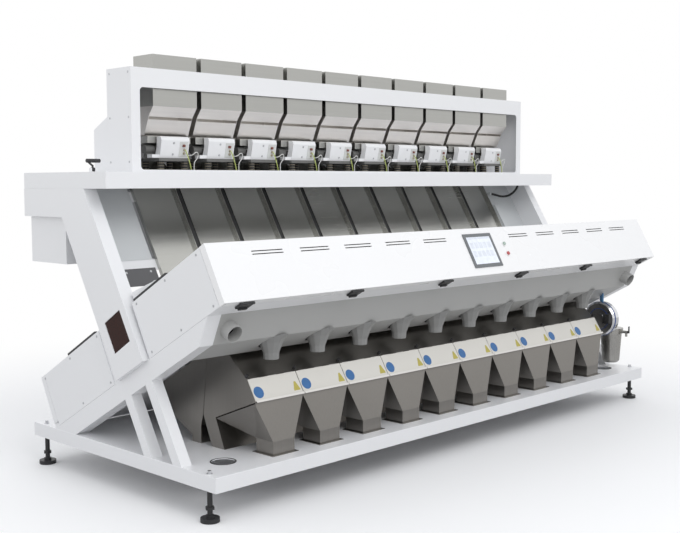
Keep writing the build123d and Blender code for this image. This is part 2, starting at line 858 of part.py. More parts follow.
with BuildPart() as front_box:
    box_block((-box_half, box_half), (door_depth, front_box_end), (0, box_height))
    box_block(
        (-box_half + box_sheet, box_half - box_sheet),
        (door_depth, front_box_end - box_sheet),
        (box_sheet, box_height - box_sheet),
        Mode.SUBTRACT,
    )
    profile(
        [
            box_point(wedge_start, box_sheet / 2),
            box_point(wedge_start, 0),
            box_point(front_box_end, -wedge_rise),
            box_point(front_box_end, box_sheet / 2),
        ],
        (-(box_half - wedge_inset), box_half - wedge_inset),
    )
    wedge_length = front_box_end - wedge_start
    profile(
        [
            box_point(wedge_start + 40, box_sheet + 1),
            box_point(wedge_start + 40, box_sheet - 40 * wedge_rise / wedge_length),
            box_point(front_box_end - box_sheet, box_sheet - wedge_rise * (1 - box_sheet / wedge_length)),
            box_point(front_box_end - box_sheet, box_sheet + 1),
        ],
        (-(box_half - wedge_inset) + box_sheet, box_half - wedge_inset - box_sheet),
        Mode.SUBTRACT,
    )
    box_block(
        (-row_half, row_half),
        (front_box_end - box_sheet, front_box_end),
        glass_slot,
        Mode.SUBTRACT,
    )
    box_block((-leg_inner + 10, leg_inner - 10), (front_box_end - 1, front_box_end + rail_out), rail_down)
    hinge_back = door_depth - 2
    for place in hinge_places:
        for start, end in ((-hinge_width / 2, -16), (16, hinge_width / 2)):
            hinge_block(place, hinge_back, start, end, hinge_radius)
            hinge_leaf(place, (hinge_back + 2.5, hinge_back + hinge_radius + 14), start, end)
        hinge_block(place, hinge_back, -hinge_width / 2, hinge_width / 2, hinge_pin)
keep(front_box, "front_box")

with BuildPart() as rear_box:
    box_block((-box_half, box_half), (rear_box_start, rear_box_end), (0, box_height))
    box_block(
        (-box_half + box_sheet, box_half - box_sheet),
        (rear_box_start + box_sheet, rear_box_end),
        (box_sheet, box_height - box_sheet),
        Mode.SUBTRACT,
    )
    box_block(
        (-row_half, row_half),
        (rear_box_start, rear_box_start + box_sheet),
        glass_slot,
        Mode.SUBTRACT,
    )
    box_block((-leg_inner + 10, leg_inner - 10), (rear_box_start - rail_out, rear_box_start + 1), rail_down)
    box_block((-box_half, box_half), (rear_box_end - box_sheet, box_length), (rear_door_low + rear_sill_gap, box_height - rear_sill_gap))
    hinge_back = rear_box_end + 2
    for place in hinge_places:
        for start, end in ((-hinge_width / 2, -16), (16, hinge_width / 2)):
            hinge_block(place, hinge_back, start, end, hinge_radius)
            hinge_leaf(place, (hinge_back - hinge_radius - 14, hinge_back - 2.5), start, end)
        hinge_block(place, hinge_back, -hinge_width / 2, hinge_width / 2, hinge_pin)
keep(rear_box, "rear_box")

# Front door: a tray with vent slots, a cut-out for the screen and two button bores
door_sheet = 3.0
door_gap = 2.0
screen_centre, screen_width = 34.0, 284.0
screen_top, screen_low = 40.0, 270.0
screen_border = 12.0
button_x = 277.0
button_downs = (122.0, 191.0)
button_diameter = 24.0
vent_width, vent_height = 212.0, 6.0
vent_downs = (58.0, 75.0)
vent_lefts = [-1717.0 + 334.0 * k for k in range(5)]
vent_rights = [476.0 + 317.0 * k for k in range(5)]
button_collar = 6.0
with BuildPart() as front_door:
    inside = door_depth - door_gap
    box_block((-base_half, base_half), (0, inside), (0, box_height))
    box_block(
        (-base_half + door_sheet, base_half - door_sheet),
        (door_sheet, inside),
        (door_sheet, box_height - door_sheet),
        Mode.SUBTRACT,
    )
    door_face = Plane(
        origin=(0, *box_point(0, 0)),
        x_dir=(1, 0, 0),
        z_dir=(0, -tilt_cos, tilt_sin),
    )
    with BuildSketch(door_face) as vents:
        for centre in vent_lefts + vent_rights:
            for down in vent_downs:
                with Locations((centre, -down)):
                    Rectangle(vent_width, vent_height)
    extrude(vents.sketch, amount=-door_sheet - 1, mode=Mode.SUBTRACT)
    box_block(
        (screen_centre - screen_width / 2 + screen_border, screen_centre + screen_width / 2 - screen_border),
        (0, door_sheet),
        (screen_top + screen_border, screen_low - screen_border),
        Mode.SUBTRACT,
    )
    with BuildSketch(door_face) as collars:
        for down in button_downs:
            with Locations((button_x, -down)):
                RegularPolygon(button_diameter / 2 + 5, 24)
    extrude(collars.sketch, amount=button_collar)
    with BuildSketch(door_face.offset(button_collar)) as bores:
        for down in button_downs:
            with Locations((button_x, -down)):
                RegularPolygon(flat_bore(button_diameter / 2 + running_gap, 24), 24)
    extrude(bores.sketch, amount=-button_collar - door_sheet - 1, mode=Mode.SUBTRACT)
    for place in hinge_places:
        hinge_block(place, door_depth - 2, -15.5, 15.5, hinge_radius)
        hinge_leaf(place, (door_depth - 2 - hinge_radius - 14, door_depth - 4.5), -15.5, 15.5)
        hinge_block(place, door_depth - 2, -16, 16, hinge_pin + running_gap, Mode.SUBTRACT)
keep(front_door, "front_door")

# Rear door: a plain tray hinged on top like the front one
with BuildPart() as rear_door:
    box_block((-base_half, base_half), (rear_box_end + door_gap, box_length), (0, rear_door_low))
    box_block(
        (-base_half + door_sheet, base_half - door_sheet),
        (rear_box_end + door_gap, box_length - door_sheet),
        (door_sheet, rear_door_low - door_sheet),
        Mode.SUBTRACT,
    )
    for place in hinge_places:
        hinge_block(place, rear_box_end + 2, -15.5, 15.5, hinge_radius)
        hinge_leaf(place, (rear_box_end + 4.5, rear_box_end + 2 + hinge_radius + 14), -15.5, 15.5)
        hinge_block(place, rear_box_end + 2, -16, 16, hinge_pin + running_gap, Mode.SUBTRACT)
keep(rear_door, "rear_door")

# Side covers: flat plates on the ends of both boxes
front_cover_end = 700.0
rear_cover_start = 1084.0
with BuildPart() as side_covers:
    for side in (-1, 1):
        span = (side * (box_half + gap), side * base_half)
        box_block(span, (door_depth + gap, front_cover_end), (1, box_height - 1))
        box_block(span, (rear_cover_start, rear_box_end - gap), (1, box_height - 1))
keep(side_covers, "side_covers")

# Black handles along the top edges of the side covers
handle_height = 14.0
handle_depth = 18.0
front_handle = (366.0, 692.0)
rear_handle = (1130.0, 1457.0)
with BuildPart() as cover_handles:
    for side in (-1, 1):
        span = (side * (box_half - handle_depth), side * box_half)
        for back_span in (front_handle, rear_handle):
            box_block(span, back_span, (-handle_height, -gap))
keep(cover_handles, "cover_handles")

# Door latches: six paddles on one line under the front door
latch_pitch = 780.0
latch_count = 6
latch_width = 92.0
latch_radius = 7.0
latch_axis_back, latch_axis_down = 16.0, box_height + latch_radius + gap
latch_end = 66.0
with BuildPart() as door_latches:
    for k in range(latch_count):
        centre = latch_pitch * (k - (latch_count - 1) / 2)
        y, z = box_point(latch_axis_back, latch_axis_down)
        rod((centre - latch_width / 2, y, z), (centre + latch_width / 2, y, z), latch_radius, sides=8)
        box_block(
            (centre - latch_width / 2 + 4, centre + latch_width / 2 - 4),
            (latch_axis_back, latch_end),
            (latch_axis_down - 5, latch_axis_down + 5),
        )
        box_block(
            (centre - 26, centre + 26),
            (latch_end - 12, latch_end + 4),
            (latch_axis_down - 5, latch_axis_down + 13),
        )
keep(door_latches, "door_latches")

# Touchscreen: a bezel on the door with its body behind the cut-out
screen_depth = 26.0
screen_proud = 6.0
with BuildPart() as touchscreen:
    x_low = screen_centre - screen_width / 2
    x_high = screen_centre + screen_width / 2
    box_block((x_low, x_high), (-screen_proud, -gap), (screen_top, screen_low))
    inset = screen_border + gap
    box_block((x_low + inset, x_high - inset), (-gap - 1, screen_depth), (screen_top + inset, screen_low - inset))
    box_block((x_low + 22, x_high - 22), (-screen_proud, -screen_proud + 1.5), (62, 248), Mode.SUBTRACT)
keep(touchscreen, "touchscreen")

# Push buttons: caps with a stem through the door
button_proud = 13.0
button_flange = 3.5
for name, down in (("start_button", button_downs[0]), ("stop_button", button_downs[1])):
    with BuildPart() as button:
        with BuildSketch(door_face.offset(button_proud)) as cap:
            with Locations((button_x, -down)):
                RegularPolygon(button_diameter / 2, 24)
        extrude(cap.sketch, amount=-button_proud - door_sheet - 9)
        with BuildSketch(door_face.offset(-door_sheet - gap)) as flange:
            with Locations((button_x, -down)):
                RegularPolygon(button_diameter / 2 + button_flange, 16)
        extrude(flange.sketch, amount=-4)
    keep(button, name)

# Viewing glass behind the slot of each box
with BuildPart() as viewing_glass:
    glass_down = (glass_slot[0] - glass_margin, glass_slot[1] + glass_margin)
    front_face = front_box_end - box_sheet - gap
    rear_face = rear_box_start + box_sheet + gap
    box_block((-row_half - 10, row_half + 10), (front_face - glass_thickness, front_face), glass_down)
    box_block((-row_half - 10, row_half + 10), (rear_face, rear_face + glass_thickness), glass_down)
keep(viewing_glass, "viewing_glass")

# Wipers: carriages on a rail, parked at the left end of each glass
wiper_park = -(row_half + 90)
wiper_width = 60.0
wiper_reach = 30.0
rail_fit = 0.4
for name, face, way in (("front_wiper", front_box_end, 1), ("rear_wiper", rear_box_start, -1)):
    with BuildPart() as wiper:
        near = face + way * rail_fit
        far = face + way * wiper_reach
        x_span = (wiper_park - wiper_width / 2, wiper_park + wiper_width / 2)
        box_block(x_span, (near, far), (rail_down[0] - 14, rail_down[1] + 14))
        box_block(
            x_span,
            (face, face + way * (rail_out + rail_fit)),
            (rail_down[0] - rail_fit, rail_down[1] + rail_fit),
            Mode.SUBTRACT,
        )
        blade = (wiper_park - 5, wiper_park + 5)
        box_block(blade, (near, face + way * 14), (rail_down[1] + 10, glass_slot[1] + 4))
    keep(wiper, name)

# Cameras: one for each channel in each box, on a plate that stands on the floor of the box
camera_half, camera_long = 32.0, 84.0
camera_down = (98.0, 160.0)
lens_radius = 22.0
with BuildPart() as cameras:
    for camera_back, way in ((330.0, 1), (1432.0, -1)):
        for centre in channel_centres:
            body = (centre - camera_half, centre + camera_half)
            box_block(body, (camera_back - camera_long / 2, camera_back + camera_long / 2), camera_down)
            foot_down = (camera_down[1] - 1, box_height - box_sheet - gap)
            box_block(body, (camera_back - 4, camera_back + 4), foot_down)
            front_back = camera_back + way * (camera_long / 2 - 1)
            lens_down = sum(camera_down) / 2
            start = box_point(front_back, lens_down)
            end = box_point(front_back + way * 40, lens_down)
            rod((centre, *start), (centre, *end), lens_radius, sides=8)
keep(cameras, "cameras")

# Lamp bars above and below each glass
with BuildPart() as lamps:
    for down in (12.0, 225.0):
        front_face = front_box_end - box_sheet - gap
        rear_face = rear_box_start + box_sheet + gap
        for back_span in ((front_face - 34, front_face), (rear_face, rear_face + 34)):
            box_block((-row_half - 10, row_half + 10), back_span, (down, down + 26))
keep(lamps, "lamps")

# Ejector manifold with a nozzle strip and a valve block for each channel
with BuildPart() as ejector_manifold:
    manifold_half = row_half - 12
    back_face = rear_box_start - gap
    box_block((-manifold_half, manifold_half), (back_face - 78, back_face), (226, 300))
    box_block((-manifold_half, manifold_half), (back_face - 104, back_face - 77), (262, 288))
    for centre in channel_centres:
        box_block((centre - 145, centre + 145), (back_face - 62, back_face - 14), (299, 332))
keep(ejector_manifold, "ejector_manifold")

# Suction duct between the beams, with a round stub near each end
duct_half = beam_inner - gap
duct_back_top, duct_back_low = 545.0, 500.0
duct_sheet = 3.0
stub_sides = 32
stub_x, stub_radius, stub_length, stub_wall = 1945.0, 47.0, 60.0, 3.0
horn_back = 385.0
horn_throat = 70.0
horn_sides = 12
duct_top = box_height + gap
duct_low = beam_low
horn_y, horn_root_z = box_point(horn_back, duct_low)


def duct_outline(inset):
    """Side outline of the duct, moved in by the sheet."""
    return [
        box_point(duct_front_top + 2 * inset, duct_top + inset),
        box_point(duct_front_low + 0.6 * inset, duct_low - inset),
        box_point(duct_back_low - 1.2 * inset, duct_low - inset),
        box_point(duct_back_top - 1.2 * inset, duct_top + inset),
    ]


front_run = Vector(0, *box_point(duct_front_low, duct_low)) - Vector(0, *box_point(duct_front_top, duct_top))
stub_way = Vector(1, 0, 0).cross(front_run).normalized()
stub_way = stub_way if stub_way.Y < 0 else stub_way * -1
stub_middle = Vector(0, *box_point((duct_front_top + duct_front_low) / 2, (duct_top + duct_low) / 2))
with BuildPart() as suction_duct:
    profile(duct_outline(0), (-duct_half, duct_half))
    for side in (-1, 1):
        root = stub_middle + Vector(side * stub_x, 0, 0)
        rod(tuple(root - stub_way * 5), tuple(root + stub_way * stub_length), stub_radius, sides=stub_sides)
    profile(duct_outline(duct_sheet), (-duct_half + duct_sheet, duct_half - duct_sheet), Mode.SUBTRACT)
    for side in (-1, 1):
        root = stub_middle + Vector(side * stub_x, 0, 0)
        rod(
            tuple(root - stub_way * 30),
            tuple(root + stub_way * (stub_length + 1)),
            stub_radius - stub_wall,
            Mode.SUBTRACT,
            stub_sides,
        )
    for centre in channel_centres:
        rod(
            (centre, horn_y, horn_root_z - 80),
            (centre, horn_y, horn_root_z + 60),
            horn_throat,
            Mode.SUBTRACT,
            horn_sides,
        )
keep(suction_duct, "suction_duct")

# Dust horns: trumpets that hang from the duct over the hoppers
horn_root_radius, horn_tip_radius = 112.0, 42.0
horn_tip_z = 742.0
horn_wall = 3.0
with BuildPart() as dust_horns:
    top_z = horn_root_z + horn_root_radius * tilt_sin / tilt_cos + 5
    horn_rise = top_z - horn_tip_z
    flare = [(horn_root_radius, 1.0), (horn_root_radius * 0.62, 0.62), (horn_tip_radius * 1.08, 0.24), (horn_tip_radius, 0.0)]
    for inset, mode in ((0.0, Mode.ADD), (horn_wall, Mode.SUBTRACT)):
        for centre in channel_centres:
            rings = []
            for radius, share in flare:
                reach = 1 if mode == Mode.SUBTRACT and share in (0.0, 1.0) else 0
                height = horn_tip_z + share * horn_rise + reach * (2 * share - 1)
                with BuildSketch(Plane(origin=(centre, horn_y, height))) as ring:
                    RegularPolygon(radius - inset, horn_sides)
                rings.append(ring.sketch.face())
            loft(rings, ruled=True, mode=mode)
    box_block((-row_half - 50, row_half + 50), (0, 900), (-100, duct_low + gap), Mode.SUBTRACT)
keep(dust_horns, "dust_horns")

# Front hopper: end plates, the sloping plate, the splitter between both products and the middle outlet
floor_back, floor_back_height = 466.0, 410.0
divider_low_behind, divider_low_height = 572.0, 409.0
divider_top_behind = 529.0
hopper_top_down = box_height + 3.0
divider_slope = (divider_top_behind - divider_low_behind) / 357.0
lid_line = Vector(0, lid_top_behind - lid_low_behind, lid_top_height - lid_low_height)


def under_box(distance):
    """(Y, Z) under the boxes at a distance behind the base's front edge."""
    y = behind(distance)
    z = box_point(0, hopper_top_down)[1] - (y - box_point(0, hopper_top_down)[0]) * tilt_sin / tilt_cos
    return (y, z)


def strip(start, end, thickness, x_span, mode=Mode.ADD):
    """A sheet seen edge on, from start to end, with its thickness to the left of that way."""
    way = Vector(0, end[0] - start[0], end[1] - start[1]).normalized()
    side = (-way.Z * thickness, way.Y * thickness)
    corners = [start, end, (end[0] + side[0], end[1] + side[1]), (start[0] + side[0], start[1] + side[1])]
    profile(corners, x_span, mode)


lid_top = (behind(lid_top_behind), lid_top_height)
lid_low = (behind(lid_low_behind), lid_low_height)
floor_edge = (behind(floor_back), floor_back_height)
divider_low = (behind(divider_low_behind), divider_low_height)
divider_top = under_box(divider_top_behind)
slope_top_behind = 421.0
slope_top = under_box(slope_top_behind)
splitter_tip = (behind(548.0), 600.0)
catcher_tip = (behind(655.0), 560.0)
with BuildPart() as front_hopper:
    plate = outlet_sheet
    ends = [
        lid_top,
        lid_low,
        floor_edge,
        (behind(middle_front), deck_top + gap),
        (behind(middle_back), deck_top + gap),
        divider_low,
        divider_top,
        slope_top,
    ]
    for side in (-1, 1):
        profile(ends, (side * (row_half - plate), side * row_half))
    row = (-row_half, row_half)
    strip(slope_top, lid_top, plate, row)
    strip((floor_edge[0] - 1, floor_edge[1] - 2), splitter_tip, plate, row)
    strip((behind(middle_back), deck_top + gap), divider_low, plate, row)
    strip(floor_edge, (behind(middle_front), deck_top + gap), plate, row)
    sill = (lid_low[0] + 0.1 * lid_line.Y, lid_low[1] + 0.1 * lid_line.Z)
    strip(sill, lid_low, plate, row)
    block(row, (lid_low[0] - 6, lid_low[0] + 3), (lid_low[1] - 9, lid_low[1]))
    block(row, (behind(0), behind(base_depth)), (deck_bottom, deck_top + gap), Mode.SUBTRACT)
keep(front_hopper, "front_hopper")

# Funnels: one below each lid, narrowing to a square spout on the deck
funnel_slack = 0.6
spout_flange = 16.0
with BuildPart() as hopper_funnels:
    for inset, mode in ((0.0, Mode.ADD), (outlet_sheet, Mode.SUBTRACT)):
        for centre in channel_centres:
            half_top = (channel_pitch - funnel_slack) / 2 - inset
            half_neck = spout_width / 2 - inset
            front_top = (lid_low[0] + 6 + inset, lid_low[1] - 10)
            back_top = (floor_edge[0] - 4 - inset, floor_edge[1] - 5)
            neck_front = behind(spout_front) + inset
            neck_back = behind(spout_front + spout_depth) - inset
            upper = [
                (centre - half_top, *front_top),
                (centre + half_top, *front_top),
                (centre + half_top, *back_top),
                (centre - half_top, *back_top),
            ]
            lower = [
                (centre - half_neck, neck_front, neck_height),
                (centre + half_neck, neck_front, neck_height),
                (centre + half_neck, neck_back, neck_height),
                (centre - half_neck, neck_back, neck_height),
            ]
            if mode == Mode.SUBTRACT:
                upper = [(x, y + 0.4, z + 1.0) for x, y, z in upper]
                lower = [(x, y, z - 0.01) for x, y, z in lower]
            add(planar_solid((upper, lower)), mode=mode)
            low = deck_top + gap
            if mode == Mode.ADD:
                block(
                    (centre - half_neck - spout_flange, centre + half_neck + spout_flange),
                    (neck_front - spout_flange, neck_back + spout_flange),
                    (low, low + outlet_sheet),
                )
            foot = low - 1 if mode == Mode.SUBTRACT else low
            block((centre - half_neck, centre + half_neck), (neck_front, neck_back), (foot, neck_height), mode)
keep(hopper_funnels, "hopper_funnels")

# Rear hopper: a trough that narrows to the rear outlets
bend_behind, bend_rear_height = 848.0, 365.0
rear_slope_top = under_box(948.0)
with BuildPart() as rear_hopper:
    seam = outlet_sheet + gap
    outline = [
        (divider_top[0] + gap, divider_top[1]),
        (divider_low[0] + seam, divider_low[1]),
        (behind(rear_front), 344.0),
        (behind(rear_front), deck_top + gap),
        (behind(rear_back), deck_top + gap),
        (behind(rear_back), 280.0),
        (behind(bend_behind), bend_rear_height),
        rear_slope_top,
    ]
    wall = outlet_sheet
    profile(outline, (-row_half, row_half))
    inside = inner_outline(outline, [-20, wall, wall, -5, wall, wall, wall, -10])
    profile(inside, (-row_half + wall, row_half - wall), Mode.SUBTRACT)
    strip(catcher_tip, (outline[1][0] + 0.4, outline[1][1] - 4), wall, (-row_half + 1, row_half - 1))
keep(rear_hopper, "rear_hopper")

# Lids: sheets with a turned rim, hinged along their top edge
lid_sheet = 3.0
lid_side_gap = 2.5
lid_run = math.hypot(lid_top[0] - lid_low[0], lid_top[1] - lid_low[1])
lid_way = ((lid_low[0] - lid_top[0]) / lid_run, (lid_low[1] - lid_top[1]) / lid_run)
lid_out = (lid_way[1], -lid_way[0])


def lid_place(down, out):
    """(Y, Z) measured down a lid from its hinge edge and out from the hopper."""
    y = lid_top[0] + lid_way[0] * down + lid_out[0] * out
    z = lid_top[1] + lid_way[1] * down + lid_out[1] * out
    return (y, z)


for number, centre in enumerate(channel_centres, start=1):
    with BuildPart() as lid:
        half = channel_pitch / 2 - lid_side_gap
        near, far = gap + 0.4, gap + 0.4 + lid_sheet
        plate = [lid_place(4, near), lid_place(lid_run - 2, near), lid_place(lid_run - 2, far), lid_place(4, far)]
        profile(plate, (centre - half, centre + half))
        rim = [
            lid_place(lid_run - 5, near),
            lid_place(lid_run - 2, near),
            lid_place(lid_run - 2, far + 9),
            lid_place(lid_run - 5, far + 9),
        ]
        profile(rim, (centre - half, centre + half))
    keep(lid, f"hopper_lid_{number:02d}")

# Black knobs above the lids, between neighbouring channels
slope_run = math.hypot(slope_top[0] - lid_top[0], slope_top[1] - lid_top[1])
slope_way = ((slope_top[0] - lid_top[0]) / slope_run, (slope_top[1] - lid_top[1]) / slope_run)
slope_out = (-slope_way[1], slope_way[0])
with BuildPart() as lid_knobs:
    for k in range(channel_count + 1):
        x = channel_pitch * k - row_half
        x += 6 if k == 0 else (-6 if k == channel_count else 0)
        start = [a + 14 * b + gap * c for a, b, c in zip(lid_top, slope_way, slope_out)]
        end = [a + 14 * b + 17 * c for a, b, c in zip(lid_top, slope_way, slope_out)]
        rod((x, *start), (x, *end), 9, sides=8)
keep(lid_knobs, "lid_knobs")

# Air drum: a round polished body with a black connection block
with BuildPart() as air_drum:
    with BuildSketch(Plane.YZ.offset(drum_x)) as drum_face:
        with Locations((behind(drum_behind), drum_height)):
            RegularPolygon(drum_diameter / 2, 48)
    extrude(drum_face.sketch, amount=drum_length)
    chamfer(air_drum.faces().sort_by(Axis.X)[0].edges(), 12)
    rod(
        (drum_x - 12, behind(drum_behind), drum_height),
        (drum_x + 5, behind(drum_behind), drum_height),
        46,
        sides=16,
    )
    block(
        (drum_x - 26, drum_x + 5),
        (behind(drum_behind - 100), behind(drum_behind - 52)),
        (drum_height - 24, drum_height + 40),
    )
keep(air_drum, "air_drum")

# Filter: a tapered bowl under a head
with BuildPart() as filter_bowl:
    top = bowl_diameter / 2
    low = top * 0.78
    rings = []
    for radius, height in ((low - 14, bowl_bottom - 8), (low, bowl_bottom + 8), (top - 4, bowl_top)):
        with BuildSketch(Plane(origin=(bowl_x, behind(bowl_behind), height))) as ring:
            RegularPolygon(radius, bowl_sides)
        rings.append(ring.sketch.face())
    loft(rings, ruled=True)
    head = (bowl_x, behind(bowl_behind))
    rod((*head, bowl_top), (*head, bowl_top + head_height), top + 6, sides=bowl_sides)
    cock_y = behind(bowl_behind - bowl_diameter / 2 - 6)
    cock_z = bowl_top + head_height / 2 - 4
    rod((bowl_x, cock_y + 12, cock_z), (bowl_x, cock_y - 52, cock_z), 11, sides=12)
    rod((bowl_x, cock_y - 40, cock_z), (bowl_x, cock_y - 40, cock_z - 34), 9, sides=8)
keep(filter_bowl, "filter_bowl")

# Drain cock: a small lever on the front of the filter's outlet
with BuildPart() as drain_cock:
    tip = cock_y - 52 - gap
    rod((bowl_x, tip, cock_z), (bowl_x, tip - 12, cock_z), 8, sides=12)
    block((bowl_x - 7, bowl_x + 7), (tip - 12, tip - 7), (cock_z - 4, cock_z + 46))
keep(drain_cock, "drain_cock")

# Air pipes from the drum up to the duct
pipe_radius = 7.0
with BuildPart() as air_pipes:
    for number, x in enumerate((1848.0, 1870.0, 1892.0)):
        y = behind(drum_behind - 24 + 22 * number)
        inner = max(abs(y - behind(drum_behind)) - pipe_radius, 0)
        across = math.sqrt((drum_diameter / 2) ** 2 - inner**2)
        low = drum_height + across + gap
        roof = box_point(0, duct_low)[1] - (y - box_point(0, duct_low)[0]) * tilt_sin / tilt_cos - gap - 4.5
        rod((x, y, low), (x, y, roof), pipe_radius, sides=8)
keep(air_pipes, "air_pipes")

# Gate lever: an arm with a black grip, pivoted on the shelf
lever_rise = 48.0
lever_neck = 20.0
with BuildPart() as gate_lever:
    y = behind(lever_behind)
    left, right = lever_x - lever_boss / 2, lever_x + lever_boss / 2
    rod((left, y, lever_pivot_z), (right, y, lever_pivot_z), lever_boss_radius, sides=16)
    grip_z = lever_pivot_z + lever_rise
    rod((lever_x, y, lever_pivot_z), (lever_x, y, lever_pivot_z + lever_neck + 4), 6, sides=8)
    rod((lever_x, y, lever_pivot_z + lever_neck), (lever_x - 36, y, grip_z), 6, sides=8)
    rod((lever_x - 38, y, grip_z), (lever_x + 46, y, grip_z), 11, sides=12)
    bore = flat_bore(lever_pin + running_gap, 12)
    rod((left - 1, y, lever_pivot_z), (right + 1, y, lever_pivot_z), bore, Mode.SUBTRACT, 12)
keep(gate_lever, "gate_lever")

# Power cable: a slack loop from its clip beside the chutes up to its gland under the shelf
cable_diameter = 18.0
cable_route = [
    (1790.0, 1184.0, 1578.0),
    (1840.0, 1158.0, 1560.0),
    (1892.0, 1122.0, 1564.0),
    (1932.0, 1086.0, 1600.0),
    (1952.0, 1064.0, 1654.0),
]
cable_seat = 3.0
cable_points = [Vector(clip_x + clip_width - cable_seat, *chute_point(clip_out, clip_height))]
cable_points += [Vector(x, behind(y), z) for x, y, z in cable_route]
cable_points += [Vector(gland_x, behind(gland_behind), gland_low + cable_seat)]
cable_runs = [b - a for a, b in zip(cable_points, cable_points[1:])]
cable_radii = []
for first, second in zip(cable_runs, cable_runs[1:]):
    turn = math.radians(first.get_angle(second))
    cable_radii.append(0.45 * min(first.length, second.length) / math.tan(turn / 2))
print("cable radii", [round(radius) for radius in cable_radii])
with BuildPart() as power_cable:
    with BuildLine() as route:
        FilletPolyline(*cable_points, radius=cable_radii)
    with BuildSketch(Plane(origin=cable_points[0], z_dir=cable_runs[0].normalized())) as section:
        RegularPolygon(cable_diameter / 2, 8)
    sweep(section.sketch, path=route.wire())
keep(power_cable, "power_cable")
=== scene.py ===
# %% [markdown]
# # A chute-fed optical sorting machine
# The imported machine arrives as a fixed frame: every sheet, tube and casting stands where it belongs and
# already moves with its joint. This lesson dresses that frame. It gives each surface the finish of the
# real one, and adds the small things that a frame leaves out, such as screws, wires, rims and seams.

# %% Load the machine
import math

import bmesh
import bpy
from mathutils import Matrix, Vector


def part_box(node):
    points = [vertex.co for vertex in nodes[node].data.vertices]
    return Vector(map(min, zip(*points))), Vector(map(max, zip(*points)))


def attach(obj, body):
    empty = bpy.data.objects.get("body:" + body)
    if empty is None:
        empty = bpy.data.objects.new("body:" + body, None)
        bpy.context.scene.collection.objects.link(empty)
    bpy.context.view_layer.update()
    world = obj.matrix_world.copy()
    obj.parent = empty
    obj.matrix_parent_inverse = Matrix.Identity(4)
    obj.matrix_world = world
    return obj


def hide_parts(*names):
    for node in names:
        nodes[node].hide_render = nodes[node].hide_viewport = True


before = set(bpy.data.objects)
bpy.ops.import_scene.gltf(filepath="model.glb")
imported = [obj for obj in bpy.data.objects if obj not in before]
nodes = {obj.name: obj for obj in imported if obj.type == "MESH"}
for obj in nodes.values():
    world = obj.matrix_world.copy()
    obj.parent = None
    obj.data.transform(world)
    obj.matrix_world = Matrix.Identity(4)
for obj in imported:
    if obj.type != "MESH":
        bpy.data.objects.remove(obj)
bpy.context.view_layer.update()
scene = bpy.context.scene

# %% [markdown]
# ## The sizes that the dressing follows
# Screws and wires have to sit on real surfaces, so the slopes and the pitch of the ten channels are
# written down once, in metres. TILT is how far the camera boxes slope down towards the back, and LEAN is
# how steep the chutes are. Distances to the back count from the front edge of the base, and small
# functions turn them, or a distance along the boxes or the chutes, into a place in the machine.

# %% Sizes of the machine
CHANNELS = 10
PITCH = 0.345
ROW = CHANNELS * PITCH / 2
TILT = math.radians(28.7)
LEAN = math.radians(59.2)
BASE_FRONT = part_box("deck_plate")[0][1]
BOX_FRONT, BOX_TOP = 0.068, 1.390
CHUTE_BACK, CHUTE_Z = 1.070, 1.320
FEET = ("foot_front_left", "foot_front_right", "foot_back_left", "foot_back_right")
centres = [PITCH * (k + 0.5) - ROW for k in range(CHANNELS)]


def behind(distance):
    """Y of a place this far behind the front edge of the base."""
    return BASE_FRONT + distance


def spot(x, back, z):
    """A place at a height, this far behind the front edge of the base."""
    return Vector((x, behind(back), z))


def box_place(x, back, down):
    """A place along the sloping boxes, back from their front corner and down from their top."""
    y = behind(BOX_FRONT) + back * math.cos(TILT) - down * math.sin(TILT)
    z = BOX_TOP - back * math.sin(TILT) - down * math.cos(TILT)
    return Vector((x, y, z))


def chute_place(x, out, z):
    """A place at a height, this far in front of the face of the chutes."""
    y = behind(CHUTE_BACK) + (z - CHUTE_Z) / math.tan(LEAN) - out / math.sin(LEAN)
    return Vector((x, y, z))


def direction(start, end):
    """Which way a line runs in the side view, with a length of one."""
    run = math.dist(start, end)
    return (end[0] - start[0]) / run, (end[1] - start[1]) / run


print("front edge of the base at y", round(BASE_FRONT, 4))

# %% [markdown]
# ## Helpers for node trees
# All node trees are built with these few functions. An input takes a plain value or the output of
# another node, so that a tree reads from its first node to its last.


# %% Helpers for node trees
def feed(tree, socket, given):
    """Give an input a plain value, or link it to an output of another node."""
    if isinstance(given, bpy.types.NodeSocket):
        tree.links.new(given, socket)
    else:
        socket.default_value = given


def node(tree, kind, *inputs, **settings):
    """A new node: settings and inputs by name first, then further inputs in their order."""
    made = tree.nodes.new(kind)
    for key, value in settings.items():
        if key in made.inputs:
            feed(tree, made.inputs[key], value)
        else:
            setattr(made, key, value)
    for socket, value in zip(made.inputs, inputs):
        feed(tree, socket, value)
    return made


def maths(tree, operation, *inputs):
    """The result of one step of arithmetic."""
    return node(tree, "ShaderNodeMath", *inputs, operation=operation).outputs[0]


def blend(tree, factor, first, second):
    """The first colour where the factor is 0 and the second where it is 1."""
    made = node(tree, "ShaderNodeMix", data_type="RGBA", Factor=factor, A=first, B=second)
    return made.outputs["Result"]


def noise(tree, place, scale, detail, **settings):
    """Soft noise from 0 to 1."""
    made = node(tree, "ShaderNodeTexNoise", Vector=place, Scale=scale, Detail=detail, **settings)
    return made.outputs["Fac"]


def add_inputs(group, *wanted):
    """Inputs of a node group, each with a name, a kind, and a value or None."""
    for label, kind, value in wanted:
        socket = group.interface.new_socket(label, in_out="INPUT", socket_type="NodeSocket" + kind)
        if value is not None:
            socket.default_value = value


# %% [markdown]
# ## The camera
# The photograph was taken from eye level off the machine's left front corner. The place and the lens
# come from fitting a pinhole camera to the straight edges of the base, the shelf and the feeder housing.

